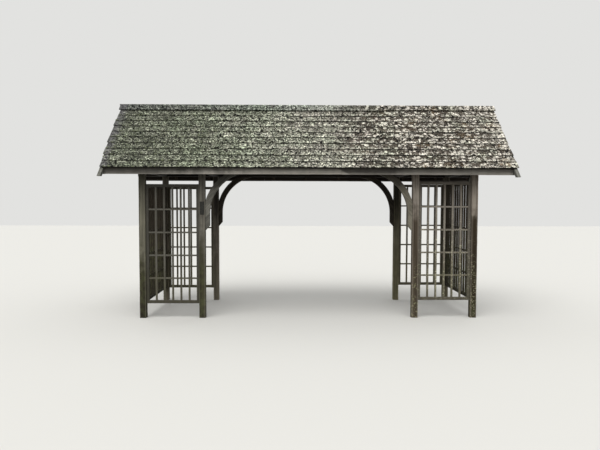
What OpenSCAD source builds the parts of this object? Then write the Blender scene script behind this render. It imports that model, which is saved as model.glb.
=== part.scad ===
/* [Posts] */
// Side of each square post
post_w = 98; // [80:1:140]
// Height of the posts, from the ground to the underside of the wall plates
post_h = 2285; // [2100:5:2600]
// Clear width of the passage between the inner posts
passage_w = 3250; // [2400:10:4200]
// Clear width of each side bay, between its inner and its outer post
bay_w = 832; // [500:1:1200]
// Distance between the centres of the front row and the rear row of posts
row_gap = 1500; // [1100:10:2200]
// Chamfer on the long edges of posts and beams
arris = 4; // [1:0.5:8]

/* [Braces] */
// Thickness of each curved brace, front to back
brace_t = 70; // [40:1:98]
// Radius of the hollow side of a brace
brace_radius = 656; // [400:1:800]
// Depth of the curved part of a brace, from its hollow side to its back
brace_depth = 94; // [75:1:130]
// Width of the straight leg that stands against the post
brace_leg = 69; // [40:1:74]
// Thickness of the blunt nose where a brace ends under the wall plate
brace_nose = 12; // [6:1:40]
// Height of a brace, from the wall plate down to its point on the post
brace_h = 913; // [900:1:1300]
// Height of the slanting cut at the foot of a brace
brace_foot_cut = 78; // [20:1:90]

/* [Lattice panels] */
// Gap between the wall plate and the right bay's panels
panel_gap = 135; // [20:1:300]
// Clear height under the right bay's panels
panel_clear = 276; // [90:1:600]
// Distance that the left bay's panels hang lower than the right bay's
left_drop = 50; // [0:1:80]
// Width of a panel's stiles
stile_w = 43; // [30:1:60]
// Height of a panel's top and bottom rails
rail_h = 47; // [30:1:70]
// Thickness of the stiles and rails
panel_t = 40; // [32:1:60]
// Width of an upright bar
upright_w = 28; // [15:1:40]
// Thickness of an upright bar
upright_t = 30; // [18:1:32]
// Height of a cross bar
cross_h = 25; // [15:1:40]
// Thickness of a cross bar
cross_t = 24; // [12:1:28]
// Number of upright bars in a front or a rear panel
bay_uprights = 5; // [3:1:8]
// Number of upright bars in an end panel
end_uprights = 10; // [5:1:12]
// Number of cross bars in every panel
cross_bars = 4; // [2:1:6]

/* [Roof frame] */
// Pitch of the roof in degrees
pitch = 45; // [35:1:55]
// Height of the wall plates that the posts carry
plate_h = 195; // [150:1:260]
// Height of the ties that join the front and rear plates
tie_h = 145; // [90:1:160]
// Thickness of a rafter
rafter_t = 45; // [32:1:70]
// Depth of a rafter, square to the slope
rafter_d = 90; // [70:1:150]
// Number of rafters on each slope
rafter_count = 11; // [5:1:15]
// Height of the notch where a rafter sits over the wall plate
seat_h = 35; // [15:1:50]
// Thickness of the ridge board
ridge_t = 30; // [20:1:50]
// Height of the ridge board
ridge_h = 150; // [100:1:220]
// Distance from the face of the posts to the lower edge of the shingles
eave_over = 277; // [150:1:400]
// Distance from the outer posts to the ends of the shingles
gable_over = 517; // [200:1:800]

/* [Roof boards] */
// Thickness of the boards under the shingles
deck_t = 20; // [15:1:32]
// Thickness of the fascia board
fascia_t = 25; // [18:1:40]
// Height of the front fascia board
front_fascia_h = 106; // [60:1:140]
// Height of the rear fascia board
rear_fascia_h = 131; // [60:1:150]
// Distance that the shingles stand out over the fascia
shingle_over = 52; // [10:1:60]
// Thickness of a bargeboard
barge_t = 52; // [25:1:60]
// Width of a bargeboard, square to the slope
barge_w = 140; // [100:1:220]
// Distance that the shingles stand out over a bargeboard
rake_over = 20; // [5:1:60]
// Width of the narrow tail of a bargeboard, square to the slope
tail_w = 57; // [40:1:80]
// Distance that the tails of the bargeboards hang below the lower fascia
tail_h = 15; // [5:1:60]

/* [Shingles] */
// Part of each course of shingles that is open to the weather
exposure = 143; // [100:1:200]
// Thickness of the shingles at a butt, over the boards
butt_t = 36; // [26:1:50]
// Thickness of the shingles just below the next butt
thin_t = 22; // [12:1:24]
// Thickness of the shingles under the ridge cap
bed_t = 30; // [25:1:36]
// Width of a ridge cap board along the slope
cap_w = 145; // [110:1:200]
// Thickness of a ridge cap board
cap_t = 22; // [15:1:40]
// Distance that the ridge cap runs out past the shingles at each end
cap_over = 12; // [0:1:40]

/* [Hidden] */

$fn = 96;
LEFT = -1;
RIGHT = 1;
FRONT = -1;
REAR = 1;

// Places of the posts
inner_x = passage_w / 2 + post_w / 2;
outer_x = inner_x + post_w + bay_w;
row_y = row_gap / 2;
row_face = row_y + post_w / 2;
end_clear = row_gap - post_w;
roof_half = outer_x + post_w / 2 + gable_over;
lattice_h = post_h - panel_gap - panel_clear;

// Roof lines in a cross section. Each is the height of a sloping plane over the middle of the gate.
plate_top = post_h + plate_h;
rafter_base = plate_top - seat_h + row_face * tan(pitch);
rafter_apex = rafter_base + rafter_d / cos(pitch);
deck_apex = rafter_apex + deck_t / cos(pitch);
eave_y = row_face + eave_over;
fascia_face = eave_y - shingle_over;
fascia_back = fascia_face - fascia_t;
fascia_top = rafter_apex - fascia_face * tan(pitch);
tail_foot = fascia_top - max(front_fascia_h, rear_fascia_h) - tail_h;
frame_half = roof_half - rake_over - barge_t;
slope_len = eave_y / cos(pitch);

timber = [0.43, 0.39, 0.33];
timber_dark = [0.33, 0.29, 0.24];
board_grey = [0.47, 0.44, 0.40];
shingle_grey = [0.50, 0.50, 0.43];

// A square timber along X with chamfered long edges, centred on X and Y, standing on z = 0
module beam_x(length, width, height) {
    rotate([90, 0, 90])
        translate([0, 0, -length / 2])
            linear_extrude(length)
                chamfered(width, height);
}

// The section of a timber, centred in its width, with its foot on the axis
module chamfered(width, height) {
    half = width / 2;
    polygon([
        [-half + arris, 0], [half - arris, 0], [half, arris], [half, height - arris],
        [half - arris, height], [-half + arris, height], [-half, height - arris], [-half, arris]
    ]);
}

// A post on the ground at the given side and row
module post(side, x, row) {
    color(timber)
        translate([side * x, row * row_y, 0])
            linear_extrude(post_h)
                translate([0, -post_w / 2])
                    chamfered(post_w, post_w);
}

// The side face of a brace: x runs from the post into the passage, y is the height
module brace_face() {
    centre = [brace_leg + brace_radius, post_h - brace_radius];
    point = post_h - brace_h;
    reach = centre[0] - sqrt(brace_nose * (2 * brace_radius - brace_nose));
    intersection() {
        union() {
            difference() {
                circle_at(centre, brace_radius + brace_depth);
                circle_at(centre, brace_radius);
                translate([-brace_radius, centre[1] - 3 * brace_radius])
                    square([5 * brace_radius, 3 * brace_radius]);
            }
            polygon([
                [0, point], [brace_leg, point + brace_foot_cut],
                [brace_leg, centre[1]], [0, centre[1]]
            ]);
        }
        square([reach, post_h]);
    }
}

module circle_at(centre, radius) {
    translate(centre)
        circle(radius);
}

// A curved brace from an inner post up to the wall plate
module brace(side, row) {
    color(timber)
        translate([side * passage_w / 2, row * row_y, 0])
            mirror([side > 0 ? 1 : 0, 0, 0])
                rotate([90, 0, 0])
                    translate([0, 0, -brace_t / 2])
                        linear_extrude(brace_t)
                            brace_face();
}

module wall_plate(row) {
    color(timber_dark)
        translate([0, row * row_y, post_h])
            beam_x(2 * frame_half, post_w, plate_h);
}

// A tie between the two wall plates, over a pair of posts
module tie(side, x) {
    color(timber_dark)
        translate([side * x, 0, post_h])
            rotate([0, 0, 90])
                beam_x(end_clear, post_w, tie_h);
}

// A lattice panel in the XZ plane, centred on X and Y, with its foot on z = 0
module lattice(width, uprights) {
    open_w = width - 2 * stile_w;
    open_h = lattice_h - 2 * rail_h;
    upright_step = (open_w + upright_w) / (uprights + 1);
    cross_step = (open_h + cross_h) / (cross_bars + 1);
    color(timber)
        union() {
            for (side = [-1, 1])
                block([side * (width - stile_w) / 2, 0], [stile_w, panel_t], lattice_h);
            block([0, 0], [open_w, panel_t], rail_h);
            translate([0, 0, lattice_h - rail_h])
                block([0, 0], [open_w, panel_t], rail_h);
            for (i = [1:uprights])
                translate([0, 0, rail_h])
                    block([i * upright_step - (open_w + upright_w) / 2, 0], [upright_w, upright_t], open_h);
            for (j = [1:cross_bars])
                translate([0, 0, rail_h + j * cross_step - cross_h])
                    block([0, 0], [open_w, cross_t], cross_h);
        }
}

// A box centred on a place in plan, standing on z = 0
module block(place, size, height) {
    translate([place[0] - size[0] / 2, place[1] - size[1] / 2, 0])
        cube([size[0], size[1], height]);
}

function panel_foot(side) = panel_clear - (side == LEFT ? left_drop : 0);

// The panel that fills a side bay at the front or the rear
module bay_lattice(side, row) {
    translate([side * (inner_x + outer_x) / 2, row * row_y, panel_foot(side)])
        lattice(bay_w, bay_uprights);
}

// The panel between the front and the rear outer post
module end_lattice(side) {
    translate([side * outer_x, 0, panel_foot(side)])
        rotate([0, 0, 90])
            lattice(end_clear, end_uprights);
}

// Turns an outline of the roof's cross section, drawn as [distance from the middle, height], into a
// piece that runs along X
module along_roof(row, from_x, to_x) {
    mirror([0, row == FRONT ? 1 : 0, 0])
        translate([from_x, 0, 0])
            rotate([90, 0, 90])
                linear_extrude(to_x - from_x)
                    children();
}

module ridge_board() {
    top = rafter_apex - ridge_t / 2 * tan(pitch);
    color(timber_dark)
        translate([0, 0, top - ridge_h])
            block([0, 0], [2 * frame_half, ridge_t], ridge_h);
}

// One rafter's side face, notched over the wall plate
module rafter_face() {
    difference() {
        polygon([
            [ridge_t / 2, rafter_base - ridge_t / 2 * tan(pitch)],
            [ridge_t / 2, rafter_apex - ridge_t / 2 * tan(pitch)],
            [fascia_back, rafter_apex - fascia_back * tan(pitch)],
            [fascia_back, rafter_base - fascia_back * tan(pitch)]
        ]);
        translate([row_face - post_w, plate_top - plate_h])
            square([post_w, plate_h]);
    }
}

module rafters(row) {
    step = (2 * frame_half - rafter_t) / (rafter_count - 1);
    color(timber_dark)
        for (i = [0:rafter_count - 1])
            along_roof(row, -frame_half + i * step, -frame_half + i * step + rafter_t)
                rafter_face();
}

module roof_boards(row) {
    edge = fascia_face;
    color(timber_dark)
        along_roof(row, -frame_half, frame_half)
            polygon([
                [0, rafter_apex], [0, deck_apex],
                [edge, deck_apex - edge * tan(pitch)], [edge, rafter_apex - edge * tan(pitch)]
            ]);
}

function fascia_h(row) = row == FRONT ? front_fascia_h : rear_fascia_h;

module fascia(row) {
    color(board_grey)
        along_roof(row, -frame_half, frame_half)
            translate([fascia_back, fascia_top - fascia_h(row)])
                square([fascia_t, fascia_h(row)]);
}

// The point at this height on a plane of the roof, given the plane's height over the middle
function on_plane(apex, height) = [(apex - height) / tan(pitch), height];

// A bargeboard's upper edge is in line with the roof boards. Its foot is cut level with the foot of the
// fascia, and only a narrow tail runs on past the eave.
module bargeboard(side, row) {
    foot = fascia_top - fascia_h(row);
    tail_apex = deck_apex - tail_w / cos(pitch);
    under_apex = deck_apex - barge_w / cos(pitch);
    inner = frame_half;
    outer = frame_half + barge_t;
    color(board_grey)
        along_roof(row, side == LEFT ? -outer : inner, side == LEFT ? -inner : outer)
            polygon([
                [0, deck_apex],
                on_plane(deck_apex, tail_foot), on_plane(tail_apex, tail_foot),
                on_plane(tail_apex, foot), on_plane(under_apex, foot),
                [0, under_apex]
            ]);
}

// A point of the roof's cross section, from its distance down the slope and its height over the boards
function on_slope(down, rise) = [
    down * cos(pitch) + rise * sin(pitch),
    deck_apex - down * sin(pitch) + rise * cos(pitch)
];

// Distance down the slope at which a plane at this height over the boards meets the middle of the roof
function apex_down(rise) = -rise * tan(pitch);

function butt_down(course) = slope_len - course * exposure;

// Distance down the slope of the ridge cap's lower edge, and the courses that show below it
cap_edge = apex_down(bed_t + cap_t) + cap_w;
courses = ceil((slope_len - cap_edge) / exposure);
top_thin = thin_t + (butt_t - thin_t) * (cap_edge - butt_down(courses)) / exposure;

module shingles(row) {
    steps = [
        for (course = [0:courses - 1])
            for (end = course == courses - 1 ? [0] : [0, 1])
                on_slope(butt_down(course) - end * exposure, end == 0 ? butt_t : thin_t)
    ];
    color(shingle_grey)
        along_roof(row, -roof_half, roof_half)
            polygon(concat(
                [on_slope(0, 0), on_slope(slope_len, 0)],
                steps,
                [on_slope(cap_edge, top_thin), on_slope(cap_edge, bed_t), on_slope(apex_down(bed_t), bed_t)]
            ));
}

module ridge_cap(row) {
    color(shingle_grey)
        along_roof(row, -roof_half - cap_over, roof_half + cap_over)
            polygon([
                on_slope(apex_down(bed_t), bed_t), on_slope(cap_edge, bed_t),
                on_slope(cap_edge, bed_t + cap_t), on_slope(apex_down(bed_t + cap_t), bed_t + cap_t)
            ]);
}

post(LEFT, outer_x, FRONT);  // front_left_outer_post
post(LEFT, inner_x, FRONT);  // front_left_inner_post
post(RIGHT, inner_x, FRONT);  // front_right_inner_post
post(RIGHT, outer_x, FRONT);  // front_right_outer_post
post(LEFT, outer_x, REAR);  // rear_left_outer_post
post(LEFT, inner_x, REAR);  // rear_left_inner_post
post(RIGHT, inner_x, REAR);  // rear_right_inner_post
post(RIGHT, outer_x, REAR);  // rear_right_outer_post
brace(LEFT, FRONT);  // front_left_brace
brace(RIGHT, FRONT);  // front_right_brace
brace(LEFT, REAR);  // rear_left_brace
brace(RIGHT, REAR);  // rear_right_brace
wall_plate(FRONT);  // front_wall_plate
wall_plate(REAR);  // rear_wall_plate
tie(LEFT, outer_x);  // left_end_tie
tie(LEFT, inner_x);  // left_inner_tie
tie(RIGHT, inner_x);  // right_inner_tie
tie(RIGHT, outer_x);  // right_end_tie
bay_lattice(LEFT, FRONT);  // front_left_lattice
bay_lattice(RIGHT, FRONT);  // front_right_lattice
bay_lattice(LEFT, REAR);  // rear_left_lattice
bay_lattice(RIGHT, REAR);  // rear_right_lattice
end_lattice(LEFT);  // left_end_lattice
end_lattice(RIGHT);  // right_end_lattice
ridge_board();
rafters(FRONT);  // front_rafters
rafters(REAR);  // rear_rafters
roof_boards(FRONT);  // front_roof_boards
roof_boards(REAR);  // rear_roof_boards
fascia(FRONT);  // front_fascia
fascia(REAR);  // rear_fascia
bargeboard(LEFT, FRONT);  // left_front_bargeboard
bargeboard(LEFT, REAR);  // left_rear_bargeboard
bargeboard(RIGHT, FRONT);  // right_front_bargeboard
bargeboard(RIGHT, REAR);  // right_rear_bargeboard
shingles(FRONT);  // front_shingles
shingles(REAR);  // rear_shingles
ridge_cap(FRONT);  // front_ridge_cap
ridge_cap(REAR);  // rear_ridge_cap
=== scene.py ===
"""Looks of a timber lychgate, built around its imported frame. All lengths are in metres."""

import logging
import math
from dataclasses import dataclass, field
from enum import Enum

import bmesh
import bpy
import numpy as np
from mathutils import Matrix, Vector


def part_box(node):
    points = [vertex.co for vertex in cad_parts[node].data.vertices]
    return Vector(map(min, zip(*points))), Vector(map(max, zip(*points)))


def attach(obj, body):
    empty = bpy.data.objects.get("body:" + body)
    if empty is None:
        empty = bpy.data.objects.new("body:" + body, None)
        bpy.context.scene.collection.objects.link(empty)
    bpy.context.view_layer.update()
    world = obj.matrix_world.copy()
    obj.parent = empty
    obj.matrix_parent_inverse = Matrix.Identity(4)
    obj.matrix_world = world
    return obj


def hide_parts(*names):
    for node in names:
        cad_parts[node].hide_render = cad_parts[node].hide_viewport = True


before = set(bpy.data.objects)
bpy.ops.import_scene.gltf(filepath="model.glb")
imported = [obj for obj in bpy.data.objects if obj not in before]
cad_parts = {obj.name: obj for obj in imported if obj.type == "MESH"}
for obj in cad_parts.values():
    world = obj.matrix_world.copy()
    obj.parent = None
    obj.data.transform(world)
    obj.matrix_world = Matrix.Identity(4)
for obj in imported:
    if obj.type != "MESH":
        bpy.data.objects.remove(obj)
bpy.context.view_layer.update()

log = logging.getLogger("lychgate")

Colour = tuple[float, float, float]
Socket = bpy.types.NodeSocket
Value = Socket | float | Colour
Section = list[tuple[float, float]]
Zone = tuple[float, float]

X_AXIS = np.array([1.0, 0.0, 0.0])
Y_AXIS = np.array([0.0, 1.0, 0.0])
Z_AXIS = np.array([0.0, 0.0, 1.0])

PITCH = math.radians(45.0)

# The first colour, the second colour and the result of a node that mixes colours, by number.
MIX_FIRST, MIX_SECOND, MIX_RESULT = 6, 7, 2
SEEN_RAYS = ("Camera", "Glossy", "Transmission")
WHITE: Colour = (1.0, 1.0, 1.0)
DULL_SHINE = 0.25


class Placing(Enum):
    """A part of the gate that stands on one side of a middle plane."""

    @property
    def label(self) -> str:
        """Its word in the names of nodes."""
        return self.name.lower()


class Row(Placing):
    """A slope of the roof, or a row of posts, by the sign of its Y."""

    FRONT = -1
    REAR = 1


class Side(Placing):
    """An end of the gate, by the sign of its X."""

    LEFT = -1
    RIGHT = 1


class Grain(Enum):
    """The axis that a straight timber runs along."""

    X = 0
    Y = 1
    Z = 2


def tint(red: float, green: float, blue: float) -> Colour:
    """Turns a colour written in screen values into linear light.

    Args:
        red: Red from 0 to 255.
        green: Green from 0 to 255.
        blue: Blue from 0 to 255.

    Returns:
        The same colour in linear light.
    """
    parts = [part / 255 for part in (red, green, blue)]
    return tuple(p / 12.92 if p <= 0.04045 else ((p + 0.055) / 1.055) ** 2.4 for p in parts)


# Dark brown for inner faces under the roof: partly unweathered wood, partly painted shade.
INNER_SHADE_BROWN = tint(52, 46, 39)


class NodeBook:
    """The shader nodes of a material or of the world, written one step at a time."""

    def __init__(self, owner: bpy.types.Material | bpy.types.World) -> None:
        """Clears the owner's nodes.

        Args:
            owner: The material or world that the nodes belong to.
        """
        owner.use_nodes = True
        self.nodes = owner.node_tree.nodes
        self.links = owner.node_tree.links
        self.nodes.clear()

    def add(self, kind: str, inputs: dict[str | int, Value] | None = None,
            **settings: str | bool) -> bpy.types.Node:
        """Adds a node and feeds its inputs.

        Args:
            kind: The node's type, without the word that all such types start with.
            inputs: What goes into each input: another node's output, a number or a colour.
            settings: The node's own settings.

        Returns:
            The node.
        """
        node = self.nodes.new(f"ShaderNode{kind}")
        for name, setting in settings.items():
            setattr(node, name, setting)
        for name, value in (inputs or {}).items():
            socket = node.inputs[name]
            if isinstance(value, bpy.types.NodeSocket):
                self.links.new(value, socket)
            elif socket.type == "RGBA":
                socket.default_value = (*value, 1.0)
            else:
                socket.default_value = value
        return node

    def math(self, operation: str, first: Value, *others: Value, clamp: bool = False) -> Socket:
        """Works on numbers one after the other.

        Args:
            operation: What is done with them.
            first: First number.
            others: The numbers that follow, if any.
            clamp: Whether the result is held between 0 and 1.

        Returns:
            The result.
        """
        result = first
        for other in others or (0.0,):
            result = self.add("Math", {0: result, 1: other}, operation=operation, use_clamp=clamp).outputs[0]
        return result

    def plus(self, *terms: Value) -> Socket:
        """The sum of some numbers."""
        return self.math("ADD", *terms)

    def times(self, *factors: Value, clamp: bool = False) -> Socket:
        """The product of some numbers, held between 0 and 1 if clamp is set."""
        return self.math("MULTIPLY", *factors, clamp=clamp)

    def sway(self, noise: Socket, amount: float) -> Socket:
        """Noise turned into a swing to both sides of nought."""
        return self.times(self.math("SUBTRACT", noise, 0.5), amount)

    def spread(self, value: Value, low: float, high: float, start: float = 0.0, end: float = 1.0) -> Socket:
        """Maps a range of values smoothly onto another.

        Args:
            value: The value to map.
            low: Where the result is start.
            high: Where the result is end.
            start: Result at and before low.
            end: Result at and past high.

        Returns:
            The mapped value.
        """
        limits = {"Value": value, "From Min": low, "From Max": high, "To Min": start, "To Max": end}
        return self.add("MapRange", limits, interpolation_type="SMOOTHSTEP").outputs["Result"]

    def split(self, vector: Socket) -> tuple[Socket, Socket, Socket]:
        """The three parts of a vector."""
        return tuple(self.add("SeparateXYZ", {0: vector}).outputs)

    def seen_directly(self) -> Socket:
        """1 for rays from the camera and for reflected ones, 0 for the light that falls on the gate."""
        rays = self.add("LightPath").outputs
        return self.math("MAXIMUM", *(rays[f"Is {kind} Ray"] for kind in SEEN_RAYS))


class Recipe(NodeBook):
    """The nodes of a material. They start from the point's place in the gate's own frame and its parts."""

    def __init__(self, name: str) -> None:
        """Starts a material.

        Args:
            name: Name of the material.
        """
        self.material = bpy.data.materials.new(name)
        super().__init__(self.material)
        self.place = self.add("TexCoord").outputs["Object"]
        self.along, self.depth, self.height = self.split(self.place)

    def attribute(self, name: str, output: str = "Fac") -> Socket:
        """One of the values that the mesh carries: Fac gives a number, Vector three."""
        return self.add("Attribute", attribute_name=name).outputs[output]

    def stretch(self, vector: Socket, factors: tuple[float, float, float]) -> Socket:
        """A vector with each of its parts multiplied by a factor of its own."""
        return self.add("VectorMath", {0: vector, 1: factors}, operation="MULTIPLY").outputs[0]

    def noise(self, vector: Socket, scale: float, detail: float = 4.0, roughness: float = 0.55) -> Socket:
        """Cloudy noise, about 0.5 on average.

        Args:
            vector: Where it is sampled.
            scale: Clouds to the metre.
            detail: Number of finer layers.
            roughness: Strength of the finer layers.

        Returns:
            The noise.
        """
        settings = {"Vector": vector, "Scale": scale, "Detail": detail, "Roughness": roughness}
        return self.add("TexNoise", settings).outputs["Fac"]

    def cells(self, vector: Socket, scale: float) -> tuple[Socket, Socket]:
        """Scattered cells.

        Args:
            vector: Where they are sampled.
            scale: Cells to the metre.

        Returns:
            The distance to the nearest cell's middle, and a number of that cell's own.
        """
        node = self.add("TexVoronoi", {"Vector": vector, "Scale": scale})
        return node.outputs["Distance"], self.add("SeparateColor", {0: node.outputs["Color"]}).outputs[0]

    def shaken(self, vector: Socket, scale: float, amount: float) -> Socket:
        """Moves sample points about, so that what is drawn there gets a ragged outline.

        Args:
            vector: The points.
            scale: Fineness of the raggedness.
            amount: How far a point moves.

        Returns:
            The moved points.
        """
        noise = self.add("TexNoise", {"Vector": vector, "Scale": scale, "Detail": 3.0}).outputs["Color"]
        moved = {0: noise, 1: (amount, amount, amount), 2: vector}
        return self.add("VectorMath", moved, operation="MULTIPLY_ADD").outputs[0]

    def mix(self, factor: Value, first: Value, second: Value, blend: str = "MIX") -> Socket:
        """Mixes two colours.

        Args:
            factor: Share of the second.
            first: First colour.
            second: Second colour.
            blend: How they are mixed.

        Returns:
            The mixed colour.
        """
        node = self.add("Mix", {0: factor, MIX_FIRST: first, MIX_SECOND: second}, data_type="RGBA",
                        blend_type=blend)
        return node.outputs[MIX_RESULT]

    def mix_values(self, factor: Value, first: Value, second: Value) -> Socket:
        """Mixes two numbers."""
        return self.plus(first, self.times(self.math("SUBTRACT", second, first), factor))

    def scaled(self, colour: Value, *factors: Value) -> Value:
        """A colour made lighter or darker.

        Args:
            colour: The colour.
            factors: What it is multiplied by, one after the other: numbers or colours.

        Returns:
            The new colour.
        """
        for factor in factors:
            shade = (factor,) * 3 if isinstance(factor, float) else factor
            colour = self.mix(1.0, colour, shade, "MULTIPLY")
        return colour

    def finish(self, colour: Value, roughness: Value, height: Socket | None = None, depth: float = 0.0,
               metallic: float = 0.0) -> bpy.types.Material:
        """Connects the results to the shader.

        Args:
            colour: Colour of the surface.
            roughness: Roughness of the surface.
            height: Relief of the surface from 0 to 1, if it has one.
            depth: Depth of that relief in metres.
            metallic: Share of bare metal.

        Returns:
            The finished material.
        """
        surface = {"Base Color": colour, "Roughness": roughness, "Metallic": metallic,
                   "Specular IOR Level": DULL_SHINE}
        if height is not None:
            relief = {"Strength": 1.0, "Distance": depth, "Height": height}
            surface["Normal"] = self.add("Bump", relief).outputs["Normal"]
        self.add("OutputMaterial", {"Surface": self.add("BsdfPrincipled", surface).outputs["BSDF"]})
        return self.material


@dataclass(frozen=True)
class Stain:
    """A darker stretch of a board, between two places along X, with slanting ends."""

    start: float
    end: float
    shade: float
    blur: tuple[float, float] = (0.05, 0.05)
    lean: tuple[float, float] = (0.0, 0.0)
    level: float = 0.0

    def factor(self, r: Recipe, blotch: Socket) -> Socket:
        """The factor by which the stain darkens the wood.

        Args:
            r: The recipe of the material.
            blotch: Cloudy noise that makes the stain's ends uneven.

        Returns:
            1 outside the stain and its shade inside.
        """
        rise = r.math("SUBTRACT", r.height, self.level)
        ends = []
        for place, blur, lean, low in zip((self.start, self.end), self.blur, self.lean, (0.0, 1.0)):
            shift = r.math("SUBTRACT", r.along, r.times(rise, lean))
            shift = r.plus(shift, r.sway(blotch, 2.0 * blur))
            ends.append(r.spread(shift, place - blur, place + blur, low, 1.0 - low))
        return r.spread(r.times(*ends), 0.0, 1.0, 1.0, self.shade)


@dataclass(frozen=True)
class WeatheredTimber:
    """Sawn timber out in the weather, dry above and damp below, with algae and lichen, and with painted shade
    where set: darker at the top, dark brown on inner faces, near-black in clefts.
    """

    name: str
    dry: Colour = tint(150, 145, 132)
    dark: Colour = tint(86, 80, 70)
    damp: Colour = tint(86, 76, 60)
    damp_line: float = -1.0
    damp_blur: float = 0.25
    green: Colour = tint(104, 108, 72)
    green_top: float = 0.8
    green_amount: float = 0.0
    lichen: Colour = tint(190, 190, 160)
    lichen_amount: float = 0.0
    lichen_top: float = 3.6
    lichen_size: float = 0.016
    grain_length: float = 0.5
    fine_grain: tuple[float, float] = (150.0, 2.2)
    broad_grain: tuple[float, float] = (28.0, 0.9)
    relief: float = 0.0008
    stains: tuple[Stain, ...] = ()
    # Below a height band the colour is multiplied by a factor: lighter along the fascia's lower edge, which
    # is partly painted highlight, darker at the feet of some posts, a brace and a panel.
    lower_band_factor: tuple[float, float, float] = (0.0, 0.0, 1.0)
    # Painted shade: within this distance of the middle plane along Y the wood turns dark brown, as on the
    # fascias' inner faces.
    painted_inner_shade: float = 0.0
    painted_inner_shade_blur: float = 0.002
    # Painted shade: from the first height to the second the colour darkens to the given factor, as under the
    # roof.
    painted_top_shade: tuple[float, float, float] = (0.0, 0.0, 1.0)

    def material(self) -> bpy.types.Material:
        """Builds the material.

        Returns:
            The material, which reads the grain, tone and wear that each mesh carries.
        """
        r = Recipe(self.name)
        fine = self.grain_noise(r, self.fine_grain, 6.0, 0.62)
        broad = self.grain_noise(r, self.broad_grain, 4.0, 0.55)
        blotch = r.noise(r.place, 6.0, 5.0, 0.6)
        level = r.plus(r.height, r.sway(blotch, 3.2 * self.damp_blur))
        wood = r.plus(r.times(fine, 0.6), r.times(broad, 0.4))
        colour = r.mix(r.spread(wood, 0.34, 0.62), self.dark, self.dry)
        colour = r.scaled(colour, r.spread(blotch, 0.3, 0.7, 0.84, 1.12))
        damp = r.spread(level, self.damp_line - self.damp_blur, self.damp_line + self.damp_blur, 1.0, 0.0)
        colour = r.mix(damp, colour, r.scaled(self.damp, r.spread(wood, 0.3, 0.65, 0.55, 1.25)))
        algae = r.times(r.spread(r.noise(r.place, 11.0, 5.0, 0.6), 0.4, 0.62),
                        r.spread(level, self.green_top - 0.5, self.green_top + 0.3, self.green_amount, 0.0))
        colour = r.mix(algae, colour, r.scaled(self.green, r.spread(fine, 0.3, 0.7, 0.6, 1.3)))
        crust, own = self.crust(r, level)
        colour = r.mix(crust, colour, r.scaled(self.lichen, r.spread(own, 0.4, 1.0, 0.8, 1.1)))
        tone = r.attribute("tone")
        colour = r.scaled(colour, r.spread(tone, 0.0, 1.0, 0.82, 1.14), r.spread(tone, 1.0, 2.0, 1.0, 1.9),
                          *(stain.factor(r, blotch) for stain in self.stains))
        foot, top = self.lower_band_factor, self.painted_top_shade
        # Lighter or darker below a height band; on the fascia's lower edge this is partly painted highlight.
        if foot[2] != 1.0:
            colour = r.scaled(colour, r.spread(r.height, *foot, 1.0))
        # Painted shade: darker towards the top, where the roof shades the timber.
        if top[2] != 1.0:
            colour = r.scaled(colour, r.spread(level, top[0], top[1], 1.0, top[2]))
        # Painted shade: inner faces turn dark brown.
        if self.painted_inner_shade:
            inner = r.spread(r.math("ABSOLUTE", r.depth), self.painted_inner_shade - self.painted_inner_shade_blur,
                             self.painted_inner_shade + self.painted_inner_shade_blur, 1.0, 0.0)
            colour = r.mix(inner, colour, r.scaled(INNER_SHADE_BROWN, r.spread(wood, 0.3, 0.65, 0.6, 1.2)))
        wear_and_shade = r.attribute("wear_and_shade")
        # Worn edges turn lighter; checks and clefts turn near-black, partly grime and partly painted shade.
        colour = r.mix(r.times(wear_and_shade, -0.45, clamp=True), colour, self.dry)
        colour = r.mix(r.times(wear_and_shade, 0.85, clamp=True), colour, r.scaled(self.dark, 0.18))
        return r.finish(colour, 0.9, r.plus(r.times(fine, 0.8), r.times(crust, 0.5)), self.relief)

    def grain_noise(self, r: Recipe, lines: tuple[float, float], detail: float, roughness: float) -> Socket:
        """The lines of the grain.

        Args:
            r: The recipe of the material.
            lines: Lines to the metre across the wood, and along it where the grain is a metre long.
            detail: Number of finer layers.
            roughness: Strength of the finer layers.

        Returns:
            Noise drawn out along the grain.
        """
        grain = r.stretch(r.attribute("grain", "Vector"), (lines[0], lines[0], lines[1] / self.grain_length))
        return r.noise(grain, 1.0, detail, roughness)

    def crust(self, r: Recipe, level: Socket) -> tuple[Socket, Socket]:
        """Spots of lichen.

        Args:
            r: The recipe of the material.
            level: The point's height, made uneven.

        Returns:
            1 in a spot and 0 between, and a number of each spot's own.
        """
        spots, own = r.cells(r.shaken(r.place, 60.0, 0.4 * self.lichen_size), 1.0 / self.lichen_size)
        where = r.noise(r.place, 0.27 / self.lichen_size, 4.0, 0.6)
        top = r.spread(level, self.lichen_top - 0.3, self.lichen_top + 0.3, self.lichen_amount, 0.0)
        crust = r.times(r.spread(spots, 0.48, 0.34), r.spread(where, 0.45, 0.53),
                        r.spread(own, 0.25, 0.45), top)
        return crust, own


@dataclass(frozen=True)
class ShelteredShadedTimber:
    """Dark brown timber that the roof keeps dry, made darker still as painted shade under the roof. It needs
    only the place in the frame.
    """

    name: str
    colour: Colour = tint(76, 66, 55)
    dark: Colour = tint(42, 35, 28)
    stretch: tuple[float, float, float] = (2.0, 60.0, 60.0)
    tilt: float = 0.0

    def material(self) -> bpy.types.Material:
        """Builds the material.

        Returns:
            The material, whose grain follows the frame's own axes, tilted about X.
        """
        r = Recipe(self.name)
        turned = r.add("VectorRotate", {"Vector": r.place, "Angle": self.tilt}, rotation_type="X_AXIS")
        fine = r.noise(r.stretch(turned.outputs[0], self.stretch), 1.0, 6.0, 0.6)
        colour = r.mix(r.spread(fine, 0.35, 0.66), self.dark, self.colour)
        colour = r.scaled(colour, r.spread(r.noise(r.place, 4.0, 4.0, 0.55), 0.3, 0.7, 0.75, 1.2))
        return r.finish(colour, 0.88, fine, 0.0006)


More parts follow.
